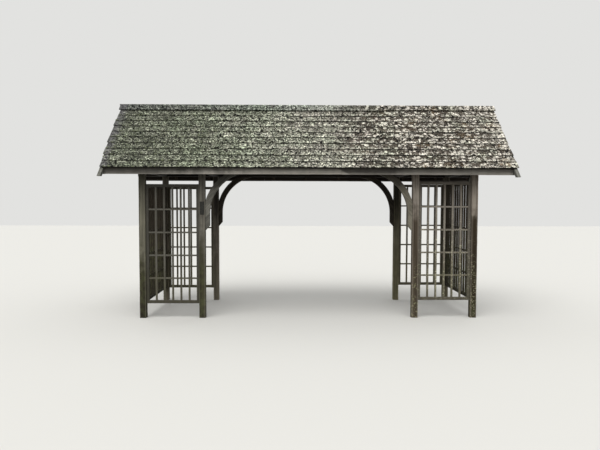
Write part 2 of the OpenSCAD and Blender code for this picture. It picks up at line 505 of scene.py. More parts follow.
@dataclass(frozen=True)
class LichenShingle:
    """Old wooden shingles thick with lichen: olive and mottled at the left, cream and brown at the right.

    A zone is the stretch along X, in metres, over which a thing changes from left to right. The near-black
    of the butt faces, undersides, gaps and pits is partly painted shade.
    """

    name: str
    wood_left: Colour = tint(62, 64, 54)
    wood_right: Colour = tint(76, 69, 61)
    wood_far: Colour = tint(78, 71, 62)
    film_left: Colour = tint(124, 129, 110)
    film_right: Colour = tint(110, 104, 92)
    pale_left: Colour = tint(178, 182, 161)
    pale_middle: Colour = tint(208, 207, 190)
    pale_right: Colour = tint(225, 221, 205)
    rust: Colour = tint(100, 84, 64)
    bare: Colour = tint(100, 97, 100)
    green_cast: Colour = (0.972, 1.018, 0.955)
    brown_cast: Colour = (1.018, 0.985, 1.0)
    rust_cast: Colour = (1.1, 0.98, 0.78)
    # Near-black for butt faces, undersides, gaps and the band under each butt: partly grime, partly painted
    # shade.
    cleft: Colour = tint(24, 22, 18)
    whitening: float = 0.0
    wood_zone: Zone = (-3.1, -0.4)
    far_zone: Zone = (-0.1, 1.1)
    film_zone: Zone = (-0.6, 0.9)
    pale_zone: Zone = (-1.6, 0.0)
    whitening_zone: Zone = (-0.6, 0.4)
    rust_zone: Zone = (0.2, 2.0)
    rust_cast_zone: Zone = (1.3, 1.8)
    bare_zone: Zone = (-3.1, -2.97)
    # Stretch along X over which the near-black at butts and sides grows from weak to strong; it is painted
    # shade, partly grime.
    dirt_and_shade_zone: Zone = (-2.4, -0.6)
    relief: float = 0.004

    def material(self) -> bpy.types.Material:
        """Builds the material.

        Returns:
            The material, which reads the grain, tone and wear that each shingle carries.
        """
        r = Recipe(self.name)
        grain = r.attribute("grain", "Vector")
        tone, wear_and_shade = r.attribute("tone"), r.attribute("wear_and_shade")
        along = r.along
        cloud = r.math("SUBTRACT", r.noise(r.place, 1.1), 0.5)
        blown = r.plus(along, r.times(cloud, 2.0))
        far = r.spread(r.plus(along, r.times(cloud, 2.6)), *self.far_zone)
        flat = r.stretch(grain, (1.0, 1.0, 1.5))
        ragged = r.shaken(flat, 38.0, 0.03)
        stain = r.times(r.spread(r.noise(r.place, 3.2, 4.0, 0.6), 0.5, 0.66),
                        r.spread(along, *self.rust_zone, 0.1, 0.8))
        colour = self.wood(r, flat, r.spread(blown, *self.wood_zone), far, stain)
        film = r.times(r.spread(r.noise(ragged, 30.0, 6.0, 0.7), 0.42, 0.54),
                       r.spread(far, 0.0, 1.0, 0.95, 0.5))
        colour = r.mix(film, colour, r.mix(r.spread(blown, *self.film_zone), self.film_left, self.film_right))
        pale = self.lichen_cover(r, grain, ragged, blown, far)
        lichen = r.mix(r.spread(blown, *self.pale_zone), self.pale_left, self.pale_middle)
        colour = r.mix(pale, colour, r.mix(far, lichen, self.pale_right))
        lobes = r.shaken(r.stretch(grain, (1.0, 1.0, 1.1)), 80.0, 0.012)
        speckle = r.cells(lobes, 36.0)[1]
        colour = r.scaled(colour, *self.crumbling(r, lobes, speckle, far), self.cast(r))
        rusty = r.times(stain, r.spread(along, *self.rust_cast_zone), r.spread(pale, 0.0, 1.0, 1.0, 0.2))
        colour = r.scaled(colour, r.mix(rusty, WHITE, self.rust_cast))
        colour = r.mix(r.spread(r.plus(along, r.times(cloud, 0.4)), *self.bare_zone, 0.65, 0.0), colour,
                       r.scaled(self.bare, r.spread(speckle, 0.0, 1.0, 0.5, 1.5)))
        colour = r.scaled(colour, r.spread(tone, 0.0, 1.0, 0.86, 1.14))
        # Painted shade, partly grime: butt faces, undersides, shingle sides and the band under each butt turn
        # near-black.
        dirt_and_shade = r.times(wear_and_shade, r.spread(along, *self.dirt_and_shade_zone, 0.45, 0.9), clamp=True)
        colour = r.mix(dirt_and_shade, colour, self.cleft)
        return r.finish(colour, 0.95, r.plus(r.times(pale, 0.6), r.times(speckle, 0.6)), self.relief)

    def wood(self, r: Recipe, flat: Socket, east: Socket, far: Socket, stain: Socket) -> Socket:
        """The wood under the lichen.

        Args:
            r: The recipe of the material.
            flat: The place in the shingle's own wood.
            east: How far the point is from the left end's colour, from 0 to 1.
            far: The same for the colour of the right end.
            stain: Where the wood is rusty.

        Returns:
            The wood's colour.
        """
        streaks = r.noise(r.stretch(flat, (150.0, 150.0, 12.0)), 1.0, 5.0, 0.6)
        wood = r.mix(far, r.mix(east, self.wood_left, self.wood_right), self.wood_far)
        wood = r.scaled(wood, r.spread(streaks, 0.3, 0.7, 0.6, 1.35))
        return r.mix(stain, wood, r.scaled(self.rust, r.spread(streaks, 0.3, 0.7, 0.7, 1.2)))

    def lichen_cover(self, r: Recipe, grain: Socket, ragged: Socket, blown: Socket, far: Socket) -> Socket:
        """Where lichen grows: small clumps at the left, rosettes at the right, more of it on the butts' rims.

        Args:
            r: The recipe of the material.
            grain: The place in the shingle's own wood.
            ragged: That place, shaken.
            blown: The point's X, made uneven.
            far: How far the point is towards the right end's looks, from 0 to 1.

        Returns:
            1 where there is lichen and 0 between.
        """
        along = r.along
        rim = r.times(r.attribute("wear_and_shade"), -1.0, clamp=True)
        bias = r.plus(r.sway(r.noise(r.place, 2.8, 3.0), 0.15),
                      r.spread(r.spread(blown, *self.wood_zone), 0.0, 1.0, -0.024, 0.02),
                      r.spread(along, 2.65, 3.1, 0.0, 0.03),
                      r.spread(along, *self.whitening_zone, 0.0, self.whitening),
                      r.times(r.spread(along, 0.3, 0.8), r.spread(along, 2.0, 2.5, -0.022, 0.0)),
                      r.times(rim, r.spread(along, -1.6, 1.2, 0.012, 0.1)))
        small = r.noise(ragged, 36.0, 4.0, 0.6)
        near = r.plus(r.times(r.noise(ragged, 15.0, 5.0, 0.62), 0.3), r.times(small, 0.7))
        clumps = r.spread(r.plus(near, bias), 0.515, 0.535)
        return r.mix_values(far, clumps, self.rosettes(r, grain, small, bias))

    @staticmethod
    def rosettes(r: Recipe, grain: Socket, small: Socket, bias: Socket) -> Socket:
        """The rounded patches of lichen towards the right of the roof, with crumbs between them.

        Args:
            r: The recipe of the material.
            grain: The place in the shingle's own wood.
            small: Fine noise that frays the patches' edges.
            bias: How much more lichen there is than elsewhere.

        Returns:
            1 where there is lichen and 0 between.
        """
        reach, own = r.cells(r.shaken(r.stretch(grain, (1.0, 1.0, 1.25)), 30.0, 0.02), 15.0)
        reach = r.plus(reach, r.sway(small, 0.75))
        kept = r.plus(own, r.times(bias, 4.0))
        patch = r.times(r.spread(reach, 0.52, 0.57, 1.0, 0.0), r.spread(kept, 0.53, 0.57))
        return r.math("MAXIMUM", patch, r.spread(r.plus(small, bias), 0.62, 0.64))

    @staticmethod
    def crumbling(r: Recipe, lobes: Socket, speckle: Socket, far: Socket) -> tuple[Socket, ...]:
        """The small light and dark of the crust: its lobes, its crumbs and the pits between them. The pits'
        near-black is partly dark crevices and partly painted shadow of the lumps.

        Args:
            r: The recipe of the material.
            lobes: The place in the shingle's own wood, shaken finely.
            speckle: A number of each lobe's own.
            far: How far the point is towards the right end's looks, from 0 to 1.

        Returns:
            The factors by which each of them changes the colour.
        """
        crumbs = r.noise(lobes, 60.0, 1.0, 0.5)
        # Pits turn near-black: partly dark crevices, partly painted shadow of the lichen lumps.
        pit_and_shadow_bias = r.plus(r.spread(r.along, -1.6, -0.4, 0.0, 0.014), r.times(far, -0.012))
        pits_and_shadows = r.math("SUBTRACT", r.noise(lobes, 26.0, 2.0, 0.5), pit_and_shadow_bias)
        lobe, crumb = (
            r.mix_values(far, r.spread(grains, *limits, *left), r.spread(grains, *limits, *right))
            for grains, limits, left, right in ((speckle, (0.0, 1.0), (0.38, 1.46), (0.64, 1.22)),
                                                (crumbs, (0.42, 0.58), (0.42, 1.38), (0.62, 1.22))))
        return lobe, crumb, r.spread(pits_and_shadows, 0.40, 0.425, 0.02, 1.0)

    def cast(self, r: Recipe) -> Socket:
        """The slight green of the left and brown of the right, in patches.

        Args:
            r: The recipe of the material.

        Returns:
            The colour by which the surface is multiplied.
        """
        green = r.plus(r.spread(r.along, -2.6, -1.7, 0.2, 0.6), r.spread(r.along, -0.8, 0.2, 0.0, -0.25),
                       r.spread(r.along, 0.8, 1.9, 0.0, -0.27), r.sway(r.noise(r.place, 4.0, 3.0), 3.5))
        return r.mix(green, self.brown_cast, self.green_cast)


@dataclass(frozen=True)
class Growth:
    """Lichen and moss that stand up from the roof."""

    name: str
    left: Colour = tint(120, 126, 98)
    right: Colour = tint(206, 204, 184)
    shade: Colour = tint(60, 62, 44)
    zone: Zone = (-1.8, 1.2)

    def material(self) -> bpy.types.Material:
        """Builds the material.

        Returns:
            The material, which reads each tuft's tone.
        """
        r = Recipe(self.name)
        colour = r.mix(r.spread(r.along, *self.zone), self.left, self.right)
        colour = r.mix(r.spread(r.attribute("tone"), 0.0, 0.55, 0.85, 0.0), colour, self.shade)
        crinkle = r.noise(r.place, 160.0, 4.0, 0.65)
        return r.finish(r.scaled(colour, r.spread(crinkle, 0.3, 0.7, 0.65, 1.2)), 0.97, crinkle, 0.002)


@dataclass(frozen=True)
class Ironwork:
    """Small metal pieces, rusted or painted."""

    name: str
    colour: Colour = tint(70, 56, 46)
    worn: Colour = tint(120, 84, 58)
    roughness: float = 0.75
    roughness_swing: float = 0.12
    metallic: float = 0.3

    def material(self) -> bpy.types.Material:
        """Builds the material.

        Returns:
            The material, with its wear in blotches.
        """
        r = Recipe(self.name)
        blotch = r.noise(r.place, 90.0, 5.0, 0.65)
        colour = r.mix(r.spread(blotch, 0.48, 0.68), self.colour, self.worn)
        rough = r.spread(blotch, 0.3, 0.7, self.roughness - self.roughness_swing,
                         # The material, worn in blotches.
                         min(1.0, self.roughness + self.roughness_swing))
        return r.finish(colour, rough, blotch, 0.0004, self.metallic)


def smooth_line(rng: np.random.Generator, count: int, knots: float) -> np.ndarray:
    """A smooth random line.

    Args:
        rng: Source of random numbers.
        count: Number of values.
        knots: Number of random values that the line runs through.

    Returns:
        The line's values, from -1 to 1.
    """
    whole = max(2, round(knots))
    marks = rng.uniform(-1.0, 1.0, whole + 1)
    at = np.linspace(0.0, whole, count)
    index = np.minimum(at.astype(int), whole - 1)
    part = at - index
    part = part * part * (3.0 - 2.0 * part)
    return marks[index] * (1.0 - part) + marks[index + 1] * part


class Piece:
    """A mesh in the making, with the values that its finish reads and random numbers of its own."""

    def __init__(self, name: str, seed: int = 0) -> None:
        """Starts an empty piece.

        Args:
            name: Name of the object that it becomes.
            seed: Seed of its random numbers.
        """
        self.name = name
        self.rng = np.random.default_rng(seed)
        self.corners: list[np.ndarray] = []
        self.faces: list[list[int]] = []
        self.grain: list[np.ndarray] = []
        self.tone: list[np.ndarray] = []
        self.wear_and_shade: list[np.ndarray] = []
        self.count = 0

    def add(self, corners: np.ndarray, faces: list, grain: np.ndarray, tone: float,
            wear_and_shade: np.ndarray | float = 0.0) -> None:
        """Adds a closed shape.

        Args:
            corners: Its points.
            faces: Its faces, as indexes into those points.
            grain: Each point's place in the wood, across, across and along.
            tone: How light the shape is, from 0 to 1.
            wear_and_shade: Each point's wear, from -1 on a worn edge to 1 in a cleft, where the dark is
                partly painted shade.
        """
        total = len(corners)
        self.faces.extend([[i + self.count for i in face] for face in faces])
        self.corners.append(np.asarray(corners, float))
        self.grain.append(np.asarray(grain, float))
        self.tone.append(np.full(total, tone))
        self.wear_and_shade.append(np.broadcast_to(np.asarray(wear_and_shade, float), (total,)))
        self.count += total

    def build(self, material: bpy.types.Material, slot: str, stands_for: tuple[str, ...] = (),
              smooth_angle: float = 38.0) -> None:
        """Makes the object and lets it ride on the frame.

        Args:
            material: Its finish.
            slot: A slot name for that finish; not used.
            stands_for: CAD nodes that it is shown in place of.
            smooth_angle: Angle in degrees from which an edge stays sharp.
        """
        mesh = bpy.data.meshes.new(self.name)
        mesh.from_pydata(np.concatenate(self.corners).tolist(), [], self.faces)
        for label, kind, key, values in (
            ("grain", "FLOAT_VECTOR", "vector", self.grain),
            ("tone", "FLOAT", "value", self.tone),
            ("wear_and_shade", "FLOAT", "value", self.wear_and_shade),
        ):
            layer = mesh.attributes.new(label, kind, "POINT")
            layer.data.foreach_set(key, np.concatenate(values).astype(np.float32).ravel())
        mesh.shade_smooth()
        mesh.set_sharp_from_angle(angle=math.radians(smooth_angle))
        mesh.materials.append(material)
        thing = bpy.data.objects.new(self.name, mesh)
        bpy.context.scene.collection.objects.link(thing)
        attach(thing, "root")
        if stands_for:
            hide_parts(*stands_for)
        mesh.calc_loop_triangles()
        log.info("%s: %d triangles", self.name, len(mesh.loop_triangles))


@dataclass(frozen=True)
class Sawing:
    """How a piece of timber is sawn, and how the weather has worked on it.

    A check is a long drying crack in a face. Its place, reach and drift are shares of the timber's size. A
    chip is a bite out of an arris. A wave is the length over which a thing varies along the timber. Wear
    runs from -1 on a worn edge to 1 in a cleft; the darkness in a cleft and beside a check is partly grime
    and partly painted shade.
    """

    arris: float = 0.004
    ragged: float = 0.5
    hollow: float = 0.0008
    step: float = 0.05
    spacing: float = 0.06
    checks: int = 0
    check_half_width: float = 0.0016
    check_depth: float = 0.011
    check_gape: float = 0.0003
    check_shoulder: float = 0.004
    check_place: float = 0.28
    check_reach: tuple[float, float] = (0.12, 0.5)
    check_drift: float = 0.05
    check_size: tuple[float, float] = (0.5, 1.2)
    # Darkening beside a check: partly grime, partly painted shade.
    check_dirt_and_shade: float = 0.35
    longest_check: float = 2.4
    checked_width: float = 0.07
    chip_rarity: float = 0.72
    chip_size: float = 5.0
    most_rounding: float = 0.4
    line_gap: tuple[float, float] = (0.012, 0.05)
    face_wave: float = 0.3
    check_wave: float = 0.1
    drift_wave: float = 0.5
    arris_wave: float = 0.09
    chip_wave: float = 0.16
    arris_wear_and_shade: float = -0.6
    corner_wear_and_shade: float = -1.0
    end_wear_and_shade: tuple[float, float] = (0.25, 0.45)


@dataclass(frozen=True)
class Track:
    """Where a timber runs: the start of its axis and the two axes of its section."""

    start: np.ndarray
    across: np.ndarray
    up: np.ndarray

    @property
    def along(self) -> np.ndarray:
        """Direction in which the timber runs."""
        return np.cross(self.across, self.up)


def edge_marks(width: float, arrises: tuple[np.ndarray, np.ndarray], length: float, sawing: Sawing,
               rng: np.random.Generator) -> list[tuple[np.ndarray, np.ndarray, np.ndarray]]:
    """Lays out the points across one face of a timber, at every station.

    Args:
        width: Width of the face.
        arrises: The rounding at its two edges, at each station.
        length: Length of the timber.
        sawing: How the timber is worked.
        rng: Source of random numbers.

    Returns:
        For each point: its distance along the face, its depth, and its wear, at each station.
    """
    count = len(arrises[0])
    face = 0.5 * sawing.hollow * (1.0 + smooth_line(rng, count, length / sawing.face_wave))
    marks = [(0.0, arrises[0], face, np.full(count, sawing.arris_wear_and_shade))]
    clefts = sawing.checks if width > sawing.checked_width else 0
    for k in range(clefts):
        middle = width * (k + 0.5 + rng.uniform(-sawing.check_place, sawing.check_place)) / clefts
        half = rng.uniform(*sawing.check_reach) * min(length, sawing.longest_check)
        centre = rng.uniform(0.0, length)
        reach = np.clip(1.0 - np.abs(np.linspace(0.0, length, count) - centre) / half, 0.0, 1.0) ** 0.6
        reach *= 0.75 + 0.25 * smooth_line(rng, count, length / sawing.check_wave)
        at = middle + sawing.check_drift * width * smooth_line(rng, count, length / sawing.drift_wave)
        size = rng.uniform(*sawing.check_size)
        gape = sawing.check_gape + sawing.check_half_width * size * reach
        marks.append((middle - sawing.check_shoulder, at - gape, face, sawing.check_dirt_and_shade * reach))
        marks.append((middle, at, face + sawing.check_depth * size * reach, np.minimum(1.0, 3.0 * reach)))
        marks.append((middle + sawing.check_shoulder, at + gape, face, sawing.check_dirt_and_shade * reach))
    taken = [mark[0] for mark in marks[1:]]
    least = sawing.line_gap[0] + sawing.line_gap[1] * width
    for place in np.linspace(0.0, width, max(1, round(width / sawing.spacing)) + 1)[1:-1]:
        if all(abs(place - other) > least for other in taken):
            marks.append((place, np.full(count, place), face, np.zeros(count)))
    marks.append((width, width - arrises[1], face, np.full(count, sawing.arris_wear_and_shade)))
    marks.sort(key=lambda mark: mark[0])
    return [mark[1:] for mark in marks]


# A rounded corner lies this share of its radius inside the sharp one, along each of the two faces.
ROUND_INSET = 0.293


def section_rings(outline: Section, length: float, sawing: Sawing,
                  rng: np.random.Generator) -> tuple[np.ndarray, np.ndarray]:
    """Works a timber's section along its length.

    Args:
        outline: Corners of the section, anticlockwise.
        length: Length of the timber.
        sawing: How the timber is worked.
        rng: Source of random numbers.

    Returns:
        The section's points at each station, and their wear.
    """
    corners = [np.array(corner) for corner in outline]
    total = len(corners)
    count = max(3, round(length / sawing.step) + 1)
    sides = [corners[(k + 1) % total] - corners[k] for k in range(total)]
    widths = [float(np.hypot(*side)) for side in sides]
    rounds = []
    for k in range(total):
        line = 1.0 + sawing.ragged * smooth_line(rng, count, length / sawing.arris_wave)
        chips = np.clip(smooth_line(rng, count, length / sawing.chip_wave) - sawing.chip_rarity, 0.0, 1.0)
        chips = chips * sawing.chip_size * sawing.ragged
        limit = sawing.most_rounding * min(widths[k], widths[k - 1])
        rounds.append(np.minimum(sawing.arris * (line + chips), limit))
    rings, wear_and_shade = [], []
    for k in range(total):
        run = sides[k] / widths[k]
        inward = np.array([-run[1], run[0]])
        following = (k + 1) % total
        for at, depth, worn in edge_marks(widths[k], (rounds[k], rounds[following]), length, sawing, rng):
            rings.append(corners[k] + at[:, None] * run + depth[:, None] * inward)
            wear_and_shade.append(worn)
        after = sides[following] / widths[following]
        bisector = inward + np.array([-after[1], after[0]])
        rings.append(corners[following] + ROUND_INSET * rounds[following][:, None] * bisector)
        wear_and_shade.append(np.full(count, sawing.corner_wear_and_shade))
    return np.stack(rings, 1), np.stack(wear_and_shade, 1)


def ring_quads(around: int, first: int, turn: int = 1) -> list[list[int]]:
    """The faces between a ring of points and the ring that follows it.

    Args:
        around: Number of points in a ring.
        first: Index of the first ring's first point.
        turn: 1 or -1, for the side that the faces look to.

    Returns:
        The faces.
    """
    pairs = [(first + i, first + (i + 1) % around) for i in range(around)]
    return [[i, j, j + around, i + around][::turn] for i, j in pairs]


def saw_timber(piece: Piece, track: Track, outline: Section, length: float, sawing: Sawing,
               tone: float | None = None) -> None:
    """Adds a straight timber to a piece.

    Args:
        piece: The piece that it belongs to.
        track: Where it runs.
        outline: Corners of its section, anticlockwise.
        length: Its length.
        sawing: How it is worked.
        tone: How light it is, or None for a random tone.
    """
    rings, wear_and_shade = section_rings(outline, length, sawing, piece.rng)
    count, around = rings.shape[:2]
    along = np.broadcast_to(length * np.linspace(0.0, 1.0, count)[:, None, None], (count, around, 1))
    points = track.start + rings[..., :1] * track.across + rings[..., 1:] * track.up + along * track.along
    grain = np.concatenate([rings, along], 2) + piece.rng.uniform(0.0, 40.0, 3)
    faces = [face for station in range(count - 1) for face in ring_quads(around, station * around)]
    corners, places, worn = [points.reshape(-1, 3)], [grain.reshape(-1, 3)], [wear_and_shade.reshape(-1)]
    for station, turn in ((0, -1), (count - 1, 1)):
        base = sum(len(part) for part in corners)
        for parts, values in ((corners, points[station]), (places, grain[station])):
            parts.append(np.vstack([values, values.mean(0)]))
        worn.append(np.append(np.full(around, sawing.end_wear_and_shade[0]), sawing.end_wear_and_shade[1]))
        faces += [[*(base + i, base + (i + 1) % around)[::turn], base + around] for i in range(around)]
    piece.add(np.vstack(corners), faces, np.vstack(places),
              piece.rng.uniform(0.0, 1.0) if tone is None else tone, np.concatenate(worn))


def rectangle(width: float, height: float) -> Section:
    """A centred rectangle, anticlockwise."""
    x, y = width / 2, height / 2
    return [(-x, -y), (x, -y), (x, y), (-x, y)]


def corners_of(node: str) -> tuple[np.ndarray, np.ndarray]:
    """Lowest and highest corner of a CAD node."""
    low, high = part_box(node)
    return np.array(low), np.array(high)


def box_timber(piece: Piece, low: np.ndarray, high: np.ndarray, run: Grain, sawing: Sawing,
               tone: float | None = None) -> None:
    """Adds a straight timber that fills a box.

    Args:
        piece: The piece that it belongs to.
        low: Lowest corner of the box.
        high: Highest corner of the box.
        run: Axis that the timber runs along.
        sawing: How it is worked.
        tone: How light it is, or None for a random tone.
    """
    axes = [X_AXIS, Y_AXIS, Z_AXIS]
    main = run.value
    first, second = (main + 1) % 3, (main + 2) % 3
    start = (low + high) / 2
    start[main] = low[main]
    size = high - low
    track = Track(start, axes[first], axes[second])
    saw_timber(piece, track, rectangle(size[first], size[second]), size[main], sawing, tone)


# How close points of a CAD node are welded, the angles at which its edges count as bends and as corners,
# and the number of marks along it between which its unevenness is drawn.
WELD_DISTANCE = 0.00002
FLAT_ANGLE = math.radians(0.8)
SHARP_ANGLE = math.radians(25.0)
WORK_MARKS = 120


def worked_copy(node: str, ease: float, run: np.ndarray, rng: np.random.Generator, step: float = 0.05,
                hollow: float = 0.0016, wave: float = 0.12) -> tuple[np.ndarray, list[list[int]]]:
    """Copies a CAD node's shape with its edges eased and its faces a little uneven.

    Args:
        node: Name of the node.
        ease: Width of the easing.
        run: Direction of the grain.
        rng: Source of random numbers.
        step: Distance between the stations at which the faces are worked.
        hollow: How far they may lie back.
        wave: Length over which that changes.

    Returns:
        The copy's points and faces.
    """
    work = bmesh.new()
    work.from_mesh(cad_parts[node].data)
    bmesh.ops.remove_doubles(work, verts=work.verts, dist=WELD_DISTANCE)
    bmesh.ops.dissolve_limit(work, angle_limit=FLAT_ANGLE, verts=work.verts, edges=work.edges)
    sharp = [edge for edge in work.edges if edge.calc_face_angle(0.0) > SHARP_ANGLE]
    bmesh.ops.bevel(work, geom=sharp, offset=ease, segments=2, profile=0.6, affect="EDGES",
                    clamp_overlap=True)
    reach = [float(np.dot(corner.co, run)) for corner in work.verts]
    for place in np.arange(min(reach) + step, max(reach) - ease, step):
        bmesh.ops.bisect_plane(work, geom=[*work.verts, *work.edges, *work.faces], plane_co=place * run,
                               plane_no=run, dist=0.00005)
    bmesh.ops.triangulate(work, faces=work.faces)
    work.normal_update()
    work.verts.index_update()
    points = np.array([corner.co for corner in work.verts])
    normals = np.array([corner.normal for corner in work.verts])
    faces = [[corner.index for corner in face.verts] for face in work.faces]
    work.free()
    along = points @ run
    marks = np.linspace(min(reach), max(reach), WORK_MARKS)
    length = max(reach) - min(reach)
    lines = [smooth_line(rng, len(marks), length / wave) for _ in range(6)]
    main = np.argmax(np.abs(normals), axis=1)
    sign = normals[np.arange(len(points)), main] > 0.0
    depth = np.zeros(len(points))
    for k, line in enumerate(lines):
        chosen = (main == k // 2) & (sign == bool(k % 2))
        depth[chosen] = 0.5 * hollow * (1.0 + np.interp(along[chosen], marks, line))
    return points - depth[:, None] * normals, faces


def worked_piece(name: str, node: str, ease: float, axes: tuple[np.ndarray, np.ndarray, np.ndarray],
                 seed: int) -> Piece:
    """Starts a piece with a CAD node's worked copy.

    Args:
        name: Name of the piece.
        node: Name of the node.
        ease: Width of the easing.
        axes: The two directions across its grain and the one along it.
        seed: Seed of its random numbers.

    Returns:
        The piece, not yet built.
    """
    piece = Piece(name, seed)
    points, faces = worked_copy(node, ease, axes[2], piece.rng)
    grain = np.stack([points @ axis for axis in axes], 1)
    piece.add(points, faces, grain + piece.rng.uniform(0.0, 20.0, 3), 0.5)
    return piece


# The dome of a nail head: the height and width of its rings and the height of its top, as shares.
DOME_RINGS = ((0.45, 1.0), (1.0, 0.55))
DOME_TOP = 1.1


def nail_head(piece: Piece, centre: np.ndarray, normal: np.ndarray, radius: float, proud: float,
              sides: int = 10, sunk: float = 0.002) -> None:
    """Adds a domed nail or bolt head.

    Args:
        piece: The piece that it belongs to.
        centre: Its place on the surface.
        normal: Direction that it faces.
        radius: Its radius.
        proud: How far it stands out.
        sides: Number of its sides.
        sunk: How far it goes on below the surface.
    """
    side = np.cross(normal, X_AXIS if abs(normal[0]) < 0.9 else Y_AXIS)
    side /= np.linalg.norm(side)
    other = np.cross(normal, side)
    turns = np.linspace(0.0, 2.0 * math.pi, sides, endpoint=False)
    ring = np.cos(turns)[:, None] * side + np.sin(turns)[:, None] * other
    levels = ((-sunk, 1.0), *((share * proud, width) for share, width in DOME_RINGS))
    corners = np.vstack([centre + depth * normal + radius * width * ring for depth, width in levels]
                        + [centre + DOME_TOP * proud * normal, centre - sunk * normal])
    faces = []
    for i in range(sides):
        j = (i + 1) % sides
        faces.append([i, j, sides + j, sides + i])
        faces.append([sides + i, sides + j, 2 * sides + j, 2 * sides + i])
        faces.append([2 * sides + i, 2 * sides + j, 3 * sides])
        faces.append([j, i, 3 * sides + 1])
    piece.add(corners, faces, corners, 0.5)


@dataclass
class Posts:
    """The eight square posts, each weathered in its own way; some have painted shade at the top, and the rear
    ones are painted lighter.
    """

    sawing: Sawing = Sawing(arris=0.005, step=0.03, spacing=0.035, checks=2)
    seed: int = 100
    looks: dict[str, dict] = field(default_factory=lambda: {
        "front_left_outer": dict(dry=tint(142, 138, 120), dark=tint(90, 86, 73), damp=tint(64, 60, 45),
                                 damp_line=0.95, damp_blur=0.25, green_amount=0.4, green_top=1.0,
                                 painted_top_shade=(1.55, 1.95, 0.62), lower_band_factor=(0.05, 0.5, 0.72)),
        "front_left_inner": dict(dry=tint(136, 131, 119), dark=tint(84, 80, 72), damp=tint(71, 68, 49),
                                 damp_line=1.2, damp_blur=0.35, green_amount=0.5, green_top=1.0,
                                 lower_band_factor=(0.0, 0.4, 0.82)),
        "front_right_inner": dict(dry=tint(186, 175, 161), dark=tint(120, 110, 99), damp=tint(88, 77, 63),
                                  damp_line=1.66, damp_blur=0.14, green_amount=0.3, green_top=0.7,
                                  lichen=tint(178, 173, 134), lichen_amount=0.85, lichen_top=0.8,
                                  lichen_size=0.023),
        "front_right_outer": dict(dry=tint(176, 165, 150), dark=tint(114, 104, 93), damp=tint(57, 48, 33),
                                  damp_line=1.69, damp_blur=0.2, green_amount=0.3, green_top=0.8,
                                  lichen=tint(184, 178, 144), lichen_amount=0.85, lichen_top=1.05,
                                  lichen_size=0.023),
        # The rear posts' colours are painted lighter to make up for the shade they stand in; their tops get
        # painted shade.
        "rear_left_outer": dict(dry=tint(150, 142, 126), dark=tint(90, 83, 72), damp=tint(112, 104, 86),
                                damp_line=0.9, green_amount=0.3, painted_top_shade=(1.5, 2.1, 0.5)),
        "rear_left_inner": dict(dry=tint(174, 165, 149), dark=tint(106, 98, 88), damp=tint(130, 122, 105),
                                damp_line=0.9, green_amount=0.2, painted_top_shade=(1.2, 1.8, 0.2)),
        "rear_right_inner": dict(dry=tint(164, 157, 132), dark=tint(100, 95, 77), damp=tint(136, 129, 102),
                                 damp_line=0.9, green_amount=0.3, painted_top_shade=(1.1, 1.8, 0.17)),
        "rear_right_outer": dict(dry=tint(152, 144, 126), dark=tint(92, 85, 71), damp=tint(112, 104, 84),
                                 damp_line=0.9, green_amount=0.3, painted_top_shade=(1.5, 2.1, 0.3)),
    })

    def build(self) -> None:
        """Builds every post over its own node."""
        for index, (label, look) in enumerate(self.looks.items()):
            node = f"{label}_post"
            piece = Piece(f"{label}_weathered_post", self.seed + index)
            box_timber(piece, *corners_of(node), Grain.Z, self.sawing, tone=0.5)
            finish = WeatheredTimber(f"{label}_post_timber", grain_length=0.9, **look)
            piece.build(finish.material(), "post_timber", (node,))


@dataclass
class Braces:
    """The four curved braces."""

    ease: float = 0.004
    seed: int = 200
    smooth_angle: float = 30.0
    # The braces' tops are darkened as painted shade under the eave.
    finish_right: WeatheredTimber = WeatheredTimber(
        "pale_brace_timber", dry=tint(162, 155, 138), dark=tint(108, 103, 90),
        painted_top_shade=(1.95, 2.17, 0.42))
    finish_left: WeatheredTimber = WeatheredTimber(
        "grey_brace_timber", dry=tint(150, 147, 136), dark=tint(98, 95, 88), painted_top_shade=(2.0, 2.18, 0.55),
        lower_band_factor=(1.45, 1.75, 0.66))
    finish_rear: WeatheredTimber = WeatheredTimber(
        "shaded_brace_timber", dry=tint(84, 78, 68), dark=tint(46, 42, 35))

    def build(self) -> None:
        """Builds each brace from its node, with straight grain from its foot to its nose."""
        front = {Side.LEFT: self.finish_left.material(), Side.RIGHT: self.finish_right.material()}
        rear = self.finish_rear.material()
        for row in Row:
            for side in Side:
                label = f"{row.label}_{side.label}"
                run = np.array([-side.value, 0.0, 1.0]) / math.sqrt(2.0)
                piece = worked_piece(f"{label}_curved_brace", f"{label}_brace", self.ease,
                                     (np.cross(run, Y_AXIS), Y_AXIS, run),
                                     self.seed + 2 * row.value + side.value)
                piece.build(front[side] if row is Row.FRONT else rear, "brace_timber", (f"{label}_brace",),
                            self.smooth_angle)


